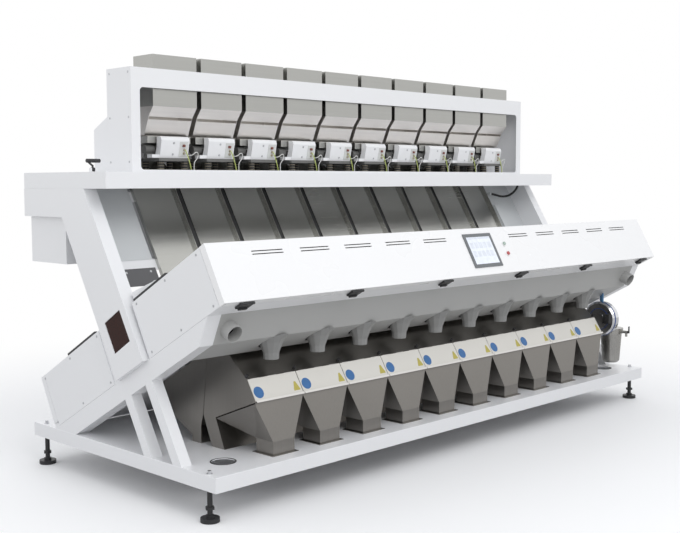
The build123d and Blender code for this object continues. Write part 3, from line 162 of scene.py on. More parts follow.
# %% Camera
EYE_X, EYE_IN_FRONT, EYE_HEIGHT = -5.2118, 3.9216, 1.6817
FOCAL_LENGTH, PICTURE_WIDTH = 1038.14, 680
SENSOR = 36.0
FAR_CLIP = 200.0
yaw, pitch_down, roll = 0.793024, 0.080895, -0.003220
eye = spot(EYE_X, -EYE_IN_FRONT, EYE_HEIGHT)
ahead = math.cos(pitch_down)
forward = Vector((math.sin(yaw) * ahead, math.cos(yaw) * ahead, -math.sin(pitch_down)))
level = Vector((math.cos(yaw), -math.sin(yaw), 0))
upward = level.cross(forward)
right = level * math.cos(roll) + upward * math.sin(roll)
upward = upward * math.cos(roll) - level * math.sin(roll)
camera_data = bpy.data.cameras.new("eye_level")
camera_data.sensor_width = SENSOR
camera_data.lens = FOCAL_LENGTH / PICTURE_WIDTH * SENSOR
camera_data.clip_end = FAR_CLIP
camera = bpy.data.objects.new("eye_level", camera_data)
camera.matrix_world = Matrix.Translation(eye) @ Matrix((right, upward, -forward)).transposed().to_4x4()
scene.collection.objects.link(camera)
scene.camera = camera
print("lens", round(camera_data.lens, 2), "mm")

# %% [markdown]
# ## Floor, background and light
# A studio sweep keeps the eye on the machine. The floor is a large pale sheet that keeps the soft
# shadows near the feet and fades into plain white further out, so that no horizon shows. The world is
# white to the camera and in reflections but only moderately bright as a lamp, so that white paint doesn't
# burn out. The camera sees the floor nearly white, but it throws back less light, so that the undersides
# of the boxes stay in shade. Two large lamps give the boxes a bright top and a shaded side.

# %% Floor
FLOOR_HALF = 60
FADE_START, FADE_END = 2.0, 5.5
FLOOR_SEEN, FLOOR_THROWN = (0.98, 0.98, 0.985, 1), (0.62, 0.62, 0.625, 1)
GLOW_THROWN = 0.62
corners = [(FLOOR_HALF * x, FLOOR_HALF * y, 0) for x, y in ((-1, -1), (1, -1), (1, 1), (-1, 1))]
floor_mesh = bpy.data.meshes.new("studio_floor")
floor_mesh.from_pydata(corners, [], [(0, 1, 2, 3)])
floor = bpy.data.objects.new("studio_floor", floor_mesh)
scene.collection.objects.link(floor)
floor_finish = bpy.data.materials.new("studio_floor")
floor_finish.use_nodes = True
tree = floor_finish.node_tree
shader = tree.nodes["Principled BSDF"]
shader.inputs["Roughness"].default_value = 0.6
shader.inputs["Specular IOR Level"].default_value = 0.1
to_camera = node(tree, "ShaderNodeLightPath").outputs["Is Camera Ray"]
feed(tree, shader.inputs["Base Color"], blend(tree, to_camera, FLOOR_THROWN, FLOOR_SEEN))
glow = node(tree, "ShaderNodeMapRange", Value=to_camera)
glow.inputs["To Min"].default_value = GLOW_THROWN
place = node(tree, "ShaderNodeTexCoord").outputs["Object"]
reach = node(tree, "ShaderNodeVectorMath", place, operation="LENGTH").outputs["Value"]
fade = node(tree, "ShaderNodeMapRange", interpolation_type="SMOOTHSTEP", Value=reach)
fade.inputs["From Min"].default_value = FADE_START
fade.inputs["From Max"].default_value = FADE_END
backdrop = node(tree, "ShaderNodeEmission", Strength=glow.outputs["Result"])
join = node(tree, "ShaderNodeMixShader", fade.outputs["Result"], shader.outputs[0], backdrop.outputs[0])
feed(tree, tree.nodes["Material Output"].inputs["Surface"], join.outputs[0])
floor_mesh.materials.append(floor_finish)

# %% World
world = bpy.data.worlds.new("studio")
scene.world = world
world.use_nodes = True
tree = world.node_tree
tree.nodes.clear()
path = node(tree, "ShaderNodeLightPath").outputs
straight = maths(tree, "MAXIMUM", path["Is Camera Ray"], path["Is Transmission Ray"])
shows_white = maths(tree, "MAXIMUM", straight, path["Is Glossy Ray"])
as_lamp = node(tree, "ShaderNodeBackground", Color=(0.96, 0.975, 1.0, 1), Strength=0.9)
as_seen = node(tree, "ShaderNodeBackground", Color=(1, 1, 1, 1))
mix = node(tree, "ShaderNodeMixShader", shows_white, as_lamp.outputs[0], as_seen.outputs[0])
node(tree, "ShaderNodeOutputWorld", Surface=mix.outputs[0])


# %% Lamps
def soft_lamp(name, place, aim, size, power):
    """A large square lamp that points at a place."""
    data = bpy.data.lights.new(name, "AREA")
    data.shape = "SQUARE"
    data.size = size
    data.energy = power
    lamp = bpy.data.objects.new(name, data)
    lamp.location = place
    lamp.rotation_euler = (Vector(aim) - Vector(place)).to_track_quat("-Z", "Y").to_euler()
    scene.collection.objects.link(lamp)


soft_lamp("key_lamp", (-2.5, -6.5, 6.5), (0, 0, 1.0), size=4.0, power=160)
soft_lamp("side_lamp", (-8.0, 1.0, 3.5), (-2, 0, 1.0), size=4.0, power=20)
scene.view_settings.view_transform = "Standard"
print("studio ready")

# %% [markdown]
# ## Finishes
# Three effects are shared by many finishes, so each is a node group that is built once. Powder coat has
# a fine orange-peel skin and a slight unevenness of tone. Brushed sheet has long thin streaks along one
# direction. Moulded skin has a fine grain and faint scuffs, and serves plastic, rubber and castings.


# %% Start and end of a finish group
def open_group(name, color, roughness, *extras):
    """A group with the inputs of every finish and some of its own, and the outputs to link from."""
    group = bpy.data.node_groups.new(name, "ShaderNodeTree")
    add_inputs(group, ("Color", "Color", (*color, 1)), ("Vector", "Vector", None))
    add_inputs(group, ("Roughness", "Float", roughness), *extras)
    for label, kind in (("Color", "Color"), ("Roughness", "Float"), ("Height", "Float")):
        group.interface.new_socket(label, in_out="OUTPUT", socket_type="NodeSocket" + kind)
    return group, node(group, "NodeGroupInput").outputs


def close_group(group, given, tone, gloss, height):
    """The end of a group: its colour times a tone, its varied roughness and its relief."""
    shade = node(group, "ShaderNodeVectorMath", given["Color"], operation="SCALE", Scale=tone)
    node(group, "NodeGroupOutput", Color=shade.outputs[0], Roughness=gloss, Height=height)


# %% Powder coat
coat, given = open_group("powder_coat", (0.87, 0.87, 0.88), 0.33, ("Tone", "Float", 0.03))
peel = noise(coat, given["Vector"], 700.0, 2.0)
patches = noise(coat, given["Vector"], 1.7, 3.0)
centred = maths(coat, "SUBTRACT", patches, 0.5)
tone = maths(coat, "MULTIPLY_ADD", centred, given["Tone"], 1.0)
gloss = maths(coat, "MULTIPLY_ADD", centred, 0.12, given["Roughness"])
close_group(coat, given, tone, gloss, peel)

# %% Brushed sheet
OWN_INPUTS = (("Stretch", "Vector", (260.0, 260.0, 2.2)), ("Contrast", "Float", 0.22))
brushed, given = open_group("brushed_sheet", (0.5, 0.48, 0.46), 0.34, *OWN_INPUTS)
drawn = node(brushed, "ShaderNodeVectorMath", given["Vector"], given["Stretch"], operation="MULTIPLY")
streaks = noise(brushed, drawn.outputs[0], 1.0, 3.0, Roughness=0.6)
smears = noise(brushed, given["Vector"], 2.6, 4.0)
both = maths(brushed, "MULTIPLY_ADD", streaks, 0.6, maths(brushed, "MULTIPLY", smears, 0.4))
centred = maths(brushed, "SUBTRACT", both, 0.5)
tone = maths(brushed, "MULTIPLY_ADD", centred, given["Contrast"], 1.0)
gloss = maths(brushed, "MULTIPLY_ADD", centred, 0.25, given["Roughness"])
close_group(brushed, given, tone, gloss, streaks)

# %% Moulded skin
mottle, given = open_group("moulded_skin", (0.05, 0.05, 0.05), 0.55, ("Grain", "Float", 900.0))
grain = noise(mottle, given["Vector"], given["Grain"], 3.0)
scuffs = noise(mottle, given["Vector"], 35.0, 4.0)
tone = maths(mottle, "MULTIPLY_ADD", scuffs, 0.35, 0.82)
gloss = maths(mottle, "MULTIPLY_ADD", scuffs, 0.15, given["Roughness"])
close_group(mottle, given, tone, gloss, grain)
print("finish groups ready")

# %% [markdown]
# ## Materials
# Each material is one of those groups with its own values, feeding a Principled shader. What is the same
# all over a surface, such as the metallic value or a clear coat, is set on the shader itself. The depth of
# the relief is in metres, and has a name where several finishes share it.

# %% Helpers for materials
FAINT, FINE, PLAIN, GRAINY = 0.00001, 0.00002, 0.00003, 0.00005
RELIEF_STRENGTH = 0.5
METAL = {"Metallic": 1.0}
COAT = {"Coat Weight": 0.25, "Coat Roughness": 0.18}
ALONG_ROW = (1.4, 60.0, 60.0)


def finish(name, group, color, relief, shader=None, **values):
    """A material that takes its colour, roughness and relief from one of the shared groups."""
    made = bpy.data.materials.new(name)
    made.use_nodes = True
    tree = made.node_tree
    bsdf = tree.nodes["Principled BSDF"]
    place = node(tree, "ShaderNodeTexCoord").outputs["Object"]
    skin = node(tree, "ShaderNodeGroup", node_tree=group, Vector=place, Color=(*color, 1), **values)
    bump = node(tree, "ShaderNodeBump", Strength=RELIEF_STRENGTH, Distance=relief)
    feed(tree, bump.inputs["Height"], skin.outputs["Height"])
    feed(tree, bsdf.inputs["Base Color"], skin.outputs["Color"])
    feed(tree, bsdf.inputs["Roughness"], skin.outputs["Roughness"])
    feed(tree, bsdf.inputs["Normal"], bump.outputs["Normal"])
    for key, value in (shader or {}).items():
        bsdf.inputs[key].default_value = value
    return made


def recolour(made, pick):
    """Let a finish change its colour with its place in the machine, as a function picks it."""
    tree = made.node_tree
    place = next(n for n in tree.nodes if n.type == "TEX_COORD")
    skin = next(n for n in tree.nodes if n.type == "GROUP")
    parts = node(tree, "ShaderNodeSeparateXYZ", place.outputs["Object"])
    feed(tree, skin.inputs["Color"], pick(tree, parts.outputs["X"], parts.outputs["Z"]))


def dress(material, *names):
    """Give CAD nodes a material on their own slots."""
    for name in names:
        piece = nodes[name]
        if not piece.material_slots:
            piece.data.materials.append(material)
        for place in piece.material_slots:
            place.link = "OBJECT"
            place.material = material


# %% White and grey paint
white_paint = finish("white_powder_coat", coat, (0.86, 0.865, 0.88), FINE, COAT)
door_paint = finish("white_door_coat", coat, (0.93, 0.93, 0.935), FINE, COAT, Roughness=0.28)
# The deck's white is lighter than the frame's: painted light that makes up for the shade under the boxes.
deck_paint_painted_light = finish("white_deck_coat_painted_light", coat, (0.93, 0.935, 0.955), FINE, COAT, Tone=0.05)
cream_paint = finish("cream_coat", coat, (0.72, 0.70, 0.65), FINE, COAT, Roughness=0.3, Tone=0.1)
grey_paint = finish("grey_coat", coat, (0.42, 0.42, 0.41), PLAIN, Roughness=0.42)
# The dust horns are the duct's grey, darkened here as painted shade.
horn_paint_painted_shade = finish("horn_coat_painted_shade", coat, (0.26, 0.26, 0.255), PLAIN, Roughness=0.38, Tone=0.12)
plate_light = finish("light_plate_coat", coat, (0.66, 0.67, 0.66), PLAIN, Roughness=0.4)

# %% Bare metal
DULL_SHEET = (0.46, 0.46, 0.44)
chute_look = {"Stretch": ALONG_ROW, "Roughness": 0.24, "Contrast": 0.2}
hopper_look = {"Roughness": 0.33, "Contrast": 0.34}
collar_look = {"Stretch": ALONG_ROW, "Roughness": 0.33}
rim_look = {"Stretch": ALONG_ROW, "Roughness": 0.38}
drum_look = {"Roughness": 0.12, "Contrast": 0.08}
chute_steel = finish("chute_steel", brushed, (0.53, 0.53, 0.505), FINE, METAL, **chute_look)
hopper_steel = finish("hopper_steel", brushed, (0.27, 0.257, 0.24), FINE, METAL, **hopper_look)
collar_steel = finish("collar_steel", brushed, DULL_SHEET, FINE, METAL, **collar_look)
bright_steel = finish("bright_steel", brushed, (0.78, 0.765, 0.74), FAINT, METAL, **rim_look)
polished_steel = finish("polished_steel", brushed, (0.72, 0.73, 0.75), FAINT, METAL, **drum_look)
bowl_steel = finish("bowl_steel", brushed, (0.42, 0.41, 0.39), FINE, METAL, Roughness=0.28)
plain_aluminium = finish("plain_aluminium", brushed, (0.6, 0.61, 0.62), FINE, METAL, Roughness=0.4)
screw_zinc = finish("screw_zinc", brushed, (0.6, 0.61, 0.63), FAINT, METAL, Roughness=0.3, Contrast=0.1)
dark_casting = finish("dark_casting", mottle, (0.19, 0.19, 0.185), 0.0002, {"Metallic": 0.6}, Grain=260.0)

# %% Plastic and rubber
black_plastic = finish("black_plastic", mottle, (0.025, 0.025, 0.027), GRAINY, Roughness=0.35)
black_rubber = finish("black_rubber", mottle, (0.02, 0.02, 0.02), 0.0001, Roughness=0.6)
spring_board = finish("spring_board", mottle, (0.35, 0.3, 0.2), GRAINY, Roughness=0.45)
blue_pipe = finish("blue_pipe", mottle, (0.08, 0.22, 0.42), PLAIN, Roughness=0.3)
screen_frame = finish("screen_frame", mottle, (0.16, 0.17, 0.18), PLAIN, Roughness=0.35)
grey_cap = finish("grey_cap", mottle, (0.42, 0.52, 0.46), FINE, Roughness=0.25)
red_cap = finish("red_cap", mottle, (0.5, 0.09, 0.09), FINE, Roughness=0.25)
lamp_plastic = finish("lamp_plastic", mottle, (0.85, 0.87, 0.9), FINE, Roughness=0.3)
sign_blue = finish("sign_blue", mottle, (0.035, 0.15, 0.38), FINE, Roughness=0.3)
sign_yellow = finish("sign_yellow", mottle, (0.50, 0.43, 0.09), FINE, Roughness=0.35)
rim_blue = finish("rim_blue", mottle, (0.05, 0.09, 0.26), PLAIN, Roughness=0.3)
wire_green = finish("wire_green", mottle, (0.5, 0.58, 0.16), PLAIN, Roughness=0.4)
wire_white = finish("wire_white", mottle, (0.8, 0.8, 0.78), PLAIN, Roughness=0.4)
tan_rubber = finish("tan_rubber", mottle, (0.40, 0.35, 0.26), 0.00008, Roughness=0.55)
plug_red = finish("plug_red", mottle, (0.2, 0.06, 0.045), PLAIN, Roughness=0.4)


# %% Glass
def glass(name, color, alpha):
    """A thin sheet of glass or tinted plastic."""
    made = bpy.data.materials.new(name)
    made.use_nodes = True
    bsdf = made.node_tree.nodes["Principled BSDF"]
    bsdf.inputs["Base Color"].default_value = (*color, 1)
    bsdf.inputs["Roughness"].default_value = 0.05
    bsdf.inputs["Specular IOR Level"].default_value = 0.2
    bsdf.inputs["Alpha"].default_value = alpha
    return made


clear_glass = glass("clear_glass", (0.8, 0.88, 0.9), 0.3)
tinted_glass = glass("tinted_glass", (0.03, 0.007, 0.004), 0.96)

# %% [markdown]
# ## Dressing the CAD nodes
# Most of the machine is folded sheet whose CAD shape is already right, so those nodes only change their
# finish: white powder coat for the frame and the boxes, stainless for everything that grain touches,
# and black for feet, handles and latches.

# %% Give every node its finish
dress(white_paint, "base_frame", "side_frame_left", "side_frame_right", "shelf_deck", "control_cabinet")
dress(white_paint, "feeder_housing", "feeder_rear_cover", "front_box", "rear_box", "rear_door")
dress(white_paint, "side_covers", "chute_cross_tubes", "drive_covers")
dress(door_paint, "front_door")
dress(deck_paint_painted_light, "deck_plate")
dress(grey_paint, "suction_duct")
dress(horn_paint_painted_shade, "dust_horns")
dress(chute_steel, "chute_plates")
dress(collar_steel, "feeder_trays")
dress(hopper_steel, "front_hopper", "hopper_funnels", "rear_hopper")
dress(black_plastic, *FEET, "drain_cock", "gate_lever")
dress(black_plastic, "cover_handles", "door_latches", "front_wiper", "rear_wiper", "lid_knobs")
dress(black_rubber, "rubber_mounts", "power_cable")
dress(dark_casting, "drive_magnets", "cameras")
dress(spring_board, "leaf_springs")
dress(plain_aluminium, "ejector_manifold")
dress(polished_steel, "air_drum")
dress(bowl_steel, "filter_bowl")
dress(blue_pipe, "air_pipes")
dress(lamp_plastic, "lamps")
dress(clear_glass, "viewing_glass")
dress(tinted_glass, "leg_windows")
dress(screen_frame, "touchscreen")
dress(grey_cap, "start_button")
dress(red_cap, "stop_button")
for number in range(1, CHANNELS + 1):
    dress(cream_paint, f"hopper_lid_{number:02d}")

# %% [markdown]
# Two nodes hold more than one colour, so their finish changes with place: Object coordinates give each
# point its place in the machine, and sharp steps pick the colour. The upper part of each inlet hopper is
# dull grey sheet, and the collar below its crease is bright bare steel. The filler panels beside the
# chutes are painted grey, while the strips between the chutes and the brackets below are nearly black.

# %% Inlet hoppers in two tones
INLET_CREASE = 2.120
BRIGHT_SHEET = (0.86, 0.83, 0.80)


def inlet_colour(tree, x, z):
    """Bright steel below the crease."""
    below = maths(tree, "LESS_THAN", z, INLET_CREASE)
    return blend(tree, below, (*DULL_SHEET, 1), (*BRIGHT_SHEET, 1))


inlet_steel = finish("inlet_steel", brushed, DULL_SHEET, FINE, METAL, **collar_look)
recolour(inlet_steel, inlet_colour)
dress(inlet_steel, "inlet_hoppers")

# %% Filler panels
PANEL_GREY, BRACKET_GREY, STRIP_BLACK = (0.62, 0.64, 0.65), (0.11, 0.11, 0.115), (0.03, 0.03, 0.032)
BRACKET_TOP = 1.222
STRIPS_HALF = 1.718


def panel_colour(tree, x, z):
    """Dark brackets at the bottom, and black strips wherever the chutes stand."""
    below = maths(tree, "LESS_THAN", z, BRACKET_TOP)
    panels = blend(tree, below, (*PANEL_GREY, 1), (*BRACKET_GREY, 1))
    between = maths(tree, "LESS_THAN", maths(tree, "ABSOLUTE", x), STRIPS_HALF)
    return blend(tree, between, panels, (*STRIP_BLACK, 1))


panel_finish = finish("filler_panels", coat, PANEL_GREY, PLAIN, Roughness=0.4)
recolour(panel_finish, panel_colour)
dress(panel_finish, "side_filler_panels")
print("nodes dressed")

# %% [markdown]
# ## Small solids by hand
# Rims, discs and fittings are plain turned or folded shapes. A prism joins two rings of points, and rods,
# flat bars and blocks are prisms. A band is a flat washer. Each finished mesh has its faces pointing
# outwards, keeps its origin at the machine's own, and rides on the body that carries it.


# %% Helpers for small solids
def ring(centre, axis, radius, sides):
    """Points of a regular polygon around an axis."""
    axis = Vector(axis).normalized()
    across = axis.orthogonal().normalized()
    along = axis.cross(across)
    angles = [2 * math.pi * k / sides for k in range(sides)]
    return [Vector(centre) + radius * (math.cos(a) * across + math.sin(a) * along) for a in angles]


def prism(shape, start, end, index=0):
    """A closed solid between two rings that have the same number of points."""
    first = [shape.verts.new(place) for place in start]
    last = [shape.verts.new(place) for place in end]
    faces = [shape.faces.new(first[::-1]), shape.faces.new(last)]
    for k in range(len(first)):
        after = (k + 1) % len(first)
        faces.append(shape.faces.new((first[k], first[after], last[after], last[k])))
    for face in faces:
        face.material_index = index


def rod(shape, start, end, radius, sides, index=0, end_radius=None):
    """A round bar between two places, which may taper."""
    axis = Vector(end) - Vector(start)
    far = radius if end_radius is None else end_radius
    prism(shape, ring(start, axis, radius, sides), ring(end, axis, far, sides), index)


def block(shape, low, high):
    """An upright box between two opposite corners."""
    flat = [(low.x, low.y), (high.x, low.y), (high.x, high.y), (low.x, high.y)]
    prism(shape, [Vector((*at, low.z)) for at in flat], [Vector((*at, high.z)) for at in flat])


def slab(shape, place, across, x_range, first, second, index=0):
    """A flat bar: its section is given in two directions by a place function, its length by x."""
    corners = [(first[0], second[0]), (first[1], second[0]), (first[1], second[1]), (first[0], second[1])]
    ends = [[place(across + x, a, b) for a, b in corners] for x in x_range]
    prism(shape, ends[0], ends[1], index)


def band(shape, start, end, inner, outer, sides=48):
    """A ring with a square section between two places on its axis."""
    axis = Vector(end) - Vector(start)
    rings = [ring(start, axis, inner, sides), ring(start, axis, outer, sides)]
    rings += [ring(end, axis, outer, sides), ring(end, axis, inner, sides)]
    loops = [[shape.verts.new(place) for place in points] for points in rings]
    for first, last in zip(loops, loops[1:] + loops[:1]):
        for k in range(sides):
            after = (k + 1) % sides
            shape.faces.new((first[k], first[after], last[after], last[k]))


def hand_over(name, shape, materials, body, bevel=0.0):
    """Turn a finished shape into a piece of the machine that rides on a body."""
    bmesh.ops.recalc_face_normals(shape, faces=shape.faces)
    data = bpy.data.meshes.new(name)
    shape.to_mesh(data)
    shape.free()
    for material in materials:
        data.materials.append(material)
    piece = bpy.data.objects.new(name, data)
    scene.collection.objects.link(piece)
    if bevel:
        edges = piece.modifiers.new("edges", "BEVEL")
        edges.width = bevel
        edges.segments = 2
        edges.limit_method = "ANGLE"
    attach(piece, body)


# %% [markdown]
# ## Lines that hang
# The power cable and the leads of the drives are soft, so each is one smooth NURBS line with a round
# bevel. A NURBS line cuts inside its control points, just as a cable rounds its own corners. Every line
# has its thickness, and both ends go into the machine.


# %% Helper for a hanging line
def line(name, points, diameter, material):
    """A cable through control points, from where it leaves the machine to where it goes in again."""
    curve = bpy.data.curves.new(name, "CURVE")
    curve.dimensions = "3D"
    curve.bevel_depth = diameter / 2
    curve.bevel_resolution = 3
    curve.use_fill_caps = True
    spline = curve.splines.new("NURBS")
    spline.points.add(len(points) - 1)
    for control, place in zip(spline.points, points):
        control.co = (*place, 1)
    spline.order_u = 3
    spline.use_endpoint_u = True
    spline.resolution_u = 10
    curve.materials.append(material)
    piece = bpy.data.objects.new(name, curve)
    scene.collection.objects.link(piece)
    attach(piece, "main_frame")
    return piece


# %% Power cable
cable_points = [
    chute_place(1.742, 0.026, 1.584),
    spot(1.790, 1.184, 1.578),
    spot(1.840, 1.158, 1.560),
    spot(1.892, 1.122, 1.564),
    spot(1.932, 1.086, 1.600),
    spot(1.952, 1.064, 1.654),
    spot(1.956, 1.058, 1.715),
]
cable = line(
    "slack_power_cable", cable_points, 0.018, black_rubber
)
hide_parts("power_cable")

# %% Earth lead and signal lead of each drive
EARTH_PATH = [
    (0.072, 1.0364, 1.880),
    (0.074, 1.0240, 1.872),
    (0.082, 1.0180, 1.845),
    (0.096, 1.0180, 1.805),
    (0.110, 1.0220, 1.770),
    (0.116, 1.0260, 1.744),
]
SIGNAL_PATH = [
    (0.104, 1.0660, 1.846),
    (0.124, 1.0620, 1.842),
    (0.146, 1.0500, 1.846),
    (0.166, 1.0440, 1.866),
    (0.187, 1.0480, 1.856),
    (0.182, 1.0540, 1.826),
    (0.158, 1.0520, 1.806),
    (0.152, 1.0480, 1.778),
    (0.152, 1.0460, 1.744),
]
for number, centre in enumerate(centres, start=1):
    earth = [spot(centre + x, back, z) for x, back, z in EARTH_PATH]
    signal = [spot(centre + x, back, z) for x, back, z in SIGNAL_PATH]
    line(f"earth_lead_{number:02d}", earth, 0.006, wire_green)
    line(f"signal_lead_{number:02d}", signal, 0.005, wire_white)

# %% [markdown]
# ## The operator's screen
# The screen in the door is a dark bezel around a pale lit display. The CAD gives the bezel with its
# recess, so only the glass is added: a thin plate with a few plain raised tiles, which glows slightly.

# %% Display
SCREEN_X = 0.034
GLASS_DEPTH, TILE_DEPTH = (-0.0054, -0.0044), (-0.0056, -0.0053)
TILE_COLUMNS, TILE_ROWS = 5, 2
TILE_WIDTH, TILE_HEIGHT = 0.034, 0.040
lit = {"Emission Color": (0.80, 0.86, 1.0, 1), "Emission Strength": 0.12, "Coat Weight": 0.6}
display_glow = finish("display_glow", mottle, (0.80, 0.84, 0.92), FAINT, lit, Roughness=0.12)
tile_tint = finish("tile_tint", mottle, (0.78, 0.825, 0.91), FAINT, {"Coat Weight": 0.6}, Roughness=0.15)
display = bmesh.new()
slab(display, box_place, SCREEN_X, (-0.1195, 0.1195), GLASS_DEPTH, (0.0625, 0.2475))
slab(display, box_place, SCREEN_X, (-0.1190, 0.1190), TILE_DEPTH, (0.0640, 0.0780), 1)
for column in range(TILE_COLUMNS):
    for row in range(TILE_ROWS):
        left, top = -0.105 + 0.043 * column, 0.100 + 0.058 * row
        width, height = (left, left + TILE_WIDTH), (top, top + TILE_HEIGHT)
        slab(display, box_place, SCREEN_X, width, TILE_DEPTH, height, 1)
hand_over("display_glass", display, [display_glow, tile_tint], "front_door")

# %% [markdown]
# ## Lids of the outlet hoppers
# Each cream lid has a bright turned edge, three hinge knuckles along its top, a blue disc on the left
# and a yellow patch on the right. They are separate thin solids, and they ride on the lid, so they lift
# with it when it opens.

# %% Edges, knuckles, discs and patches
LID_TOP, LID_LOW = (0.203, 0.654), (0.133, 0.540)
LID_RUN = math.dist(LID_TOP, LID_LOW)
LID_WAY = direction(LID_TOP, LID_LOW)
EDGE_SPAN = (-0.1702, 0.1702)
KNUCKLE_HALF, KNUCKLE_RADIUS = 0.03, 0.0024
SIGN_FOOT, SIGN_THICK = 0.0035, 0.0007
DISC_RADIUS = 0.033
PATCH = [(0.113, 0.112), (0.158, 0.112), (0.158, 0.104), (0.141, 0.060), (0.130, 0.060), (0.113, 0.104)]


def lid_place(x, down, out):
    """A place on a lid, down from its hinge edge and out from the hopper."""
    back = LID_TOP[0] + LID_WAY[0] * down + LID_WAY[1] * out
    return spot(x, back, LID_TOP[1] + LID_WAY[1] * down - LID_WAY[0] * out)


sign_rise = SIGN_THICK * (lid_place(0, 0, 1) - lid_place(0, 0, 0))
for number, centre in enumerate(centres, start=1):
    body = f"hopper_lid_{number:02d}"
    edge = bmesh.new()
    slab(edge, lid_place, centre, EDGE_SPAN, (LID_RUN - 0.0056, LID_RUN - 0.0015), (0.0034, 0.0131))
    slab(edge, lid_place, centre, EDGE_SPAN, (LID_RUN - 0.0030, LID_RUN + 0.0065), (0.0104, 0.0131))
    for x in (-0.12, 0.0, 0.12):
        start = lid_place(centre + x - KNUCKLE_HALF, 0.004, 0.0026)
        end = lid_place(centre + x + KNUCKLE_HALF, 0.004, 0.0026)
        rod(edge, start, end, KNUCKLE_RADIUS, 12)
    hand_over(f"lid_edge_{number:02d}", edge, [bright_steel], body, bevel=0.0006)
    disc = bmesh.new()
    middle = lid_place(centre - 0.130, 0.084, SIGN_FOOT)
    rod(disc, middle, middle + sign_rise, DISC_RADIUS, 32)
    hand_over(f"lid_disc_{number:02d}", disc, [sign_blue], body)
    patch = bmesh.new()
    lower = [lid_place(centre + x, down, SIGN_FOOT) for x, down in PATCH]
    prism(patch, lower, [place + sign_rise for place in lower])
    hand_over(f"lid_patch_{number:02d}", patch, [sign_yellow], body)
print("lids trimmed")

# %% [markdown]
# ## Drives
# In front of each tray stands a white cover. The real one carries a small terminal plate with a plug and
# two glands, and a cable gland on its right side where the signal lead leaves. All ten sets are one mesh,
# because none of them moves by itself.

# %% Terminal plates, plugs and glands
COVER_LOW, COVER_HIGH = (1.048, 1.826), (1.026, 1.928)
COVER_WAY = direction(COVER_LOW, COVER_HIGH)
GLAND_X = 0.072
PLUG, GLAND = 1, 2


def cover_place(x, up, out):
    """A place on the front of a drive cover, up from its lower edge and out towards the front."""
    back = COVER_LOW[0] + COVER_WAY[0] * up - COVER_WAY[1] * out
    return spot(x, back, COVER_LOW[1] + COVER_WAY[1] * up + COVER_WAY[0] * out)


fittings = bmesh.new()
for centre in centres:
    slab(fittings, cover_place, centre, (0.038, 0.098), (0.010, 0.098), (-0.0005, 0.0025))
    slab(fittings, cover_place, centre, (0.056, 0.072), (0.068, 0.082), (0.002, 0.012), PLUG)
    for up in (0.050, 0.030):
        foot, tip = cover_place(centre + GLAND_X, up, 0.002), cover_place(centre + GLAND_X, up, 0.011)
        rod(fittings, foot, tip, 0.0085, 12, GLAND, 0.006)
    side = spot(centre + 0.1045, 1.066, 1.846)
    rod(fittings, side, side + Vector((0.012, -0.002, -0.001)), 0.009, 12, GLAND, 0.005)
hand_over(
    "drive_fittings", fittings, [plate_light, plug_red, tan_rubber], "main_frame", bevel=0.0008
)

# %% [markdown]
# ## Parts that repeat
# Screws, washers, bolts and louvres repeat many times, so Geometry Nodes make them: a tree builds one
# part from a few sizes and sets it on every point of a carrier mesh. The first tree builds a head on a
# washer, and turns it to the direction that the point stores. The result becomes one plain mesh.


# %% Start and end of a tree that works on points
def open_points(name, *wanted):
    """A tree that takes points, some sizes and a finish, and the outputs to link from."""
    tree = bpy.data.node_groups.new(name, "GeometryNodeTree")
    tree.is_modifier = True
    add_inputs(tree, ("Geometry", "Geometry", None), *wanted, ("Finish", "Material", None))
    tree.interface.new_socket("Geometry", in_out="OUTPUT", socket_type="NodeSocketGeometry")
    return tree, node(tree, "NodeGroupInput").outputs


def close_points(tree, given, part, rotation):
    """Set the part on every point, make the copies real, and give them their finish."""
    spread = node(tree, "GeometryNodeInstanceOnPoints", Points=given["Geometry"], Instance=part)
    feed(tree, spread.inputs["Rotation"], rotation)
    real = node(tree, "GeometryNodeRealizeInstances", spread.outputs[0])
    dressed = node(tree, "GeometryNodeSetMaterial", Geometry=real.outputs[0], Material=given["Finish"])
    node(tree, "NodeGroupOutput", dressed.outputs[0])


# %% The tree of screws and washers
fastener, given = open_points(
    "fastener_on_points",
    ("Head Radius", "Float", 0.005),
    ("Head Height", "Float", 0.003),
    ("Top Share", "Float", 0.75),
    ("Sides", "Int", 6),
    ("Washer Radius", "Float", 0.007),
    ("Washer Height", "Float", 0.001),
)
washer = node(fastener, "GeometryNodeMeshCylinder", Vertices=16, Radius=given["Washer Radius"])
feed(fastener, washer.inputs["Depth"], given["Washer Height"])
top_radius = maths(fastener, "MULTIPLY", given["Head Radius"], given["Top Share"])
head = node(fastener, "GeometryNodeMeshCone", Vertices=given["Sides"], Depth=given["Head Height"])
feed(fastener, head.inputs["Radius Top"], top_radius)
feed(fastener, head.inputs["Radius Bottom"], given["Head Radius"])
whole = node(fastener, "GeometryNodeJoinGeometry", washer.outputs["Mesh"])
feed(fastener, whole.inputs[0], head.outputs["Mesh"])
facing = node(fastener, "GeometryNodeInputNamedAttribute", data_type="FLOAT_VECTOR", Name="facing")
turn = node(fastener, "FunctionNodeAlignRotationToVector", axis="Z", Vector=facing.outputs["Attribute"])
close_points(fastener, given, whole.outputs[0], turn.outputs[0])


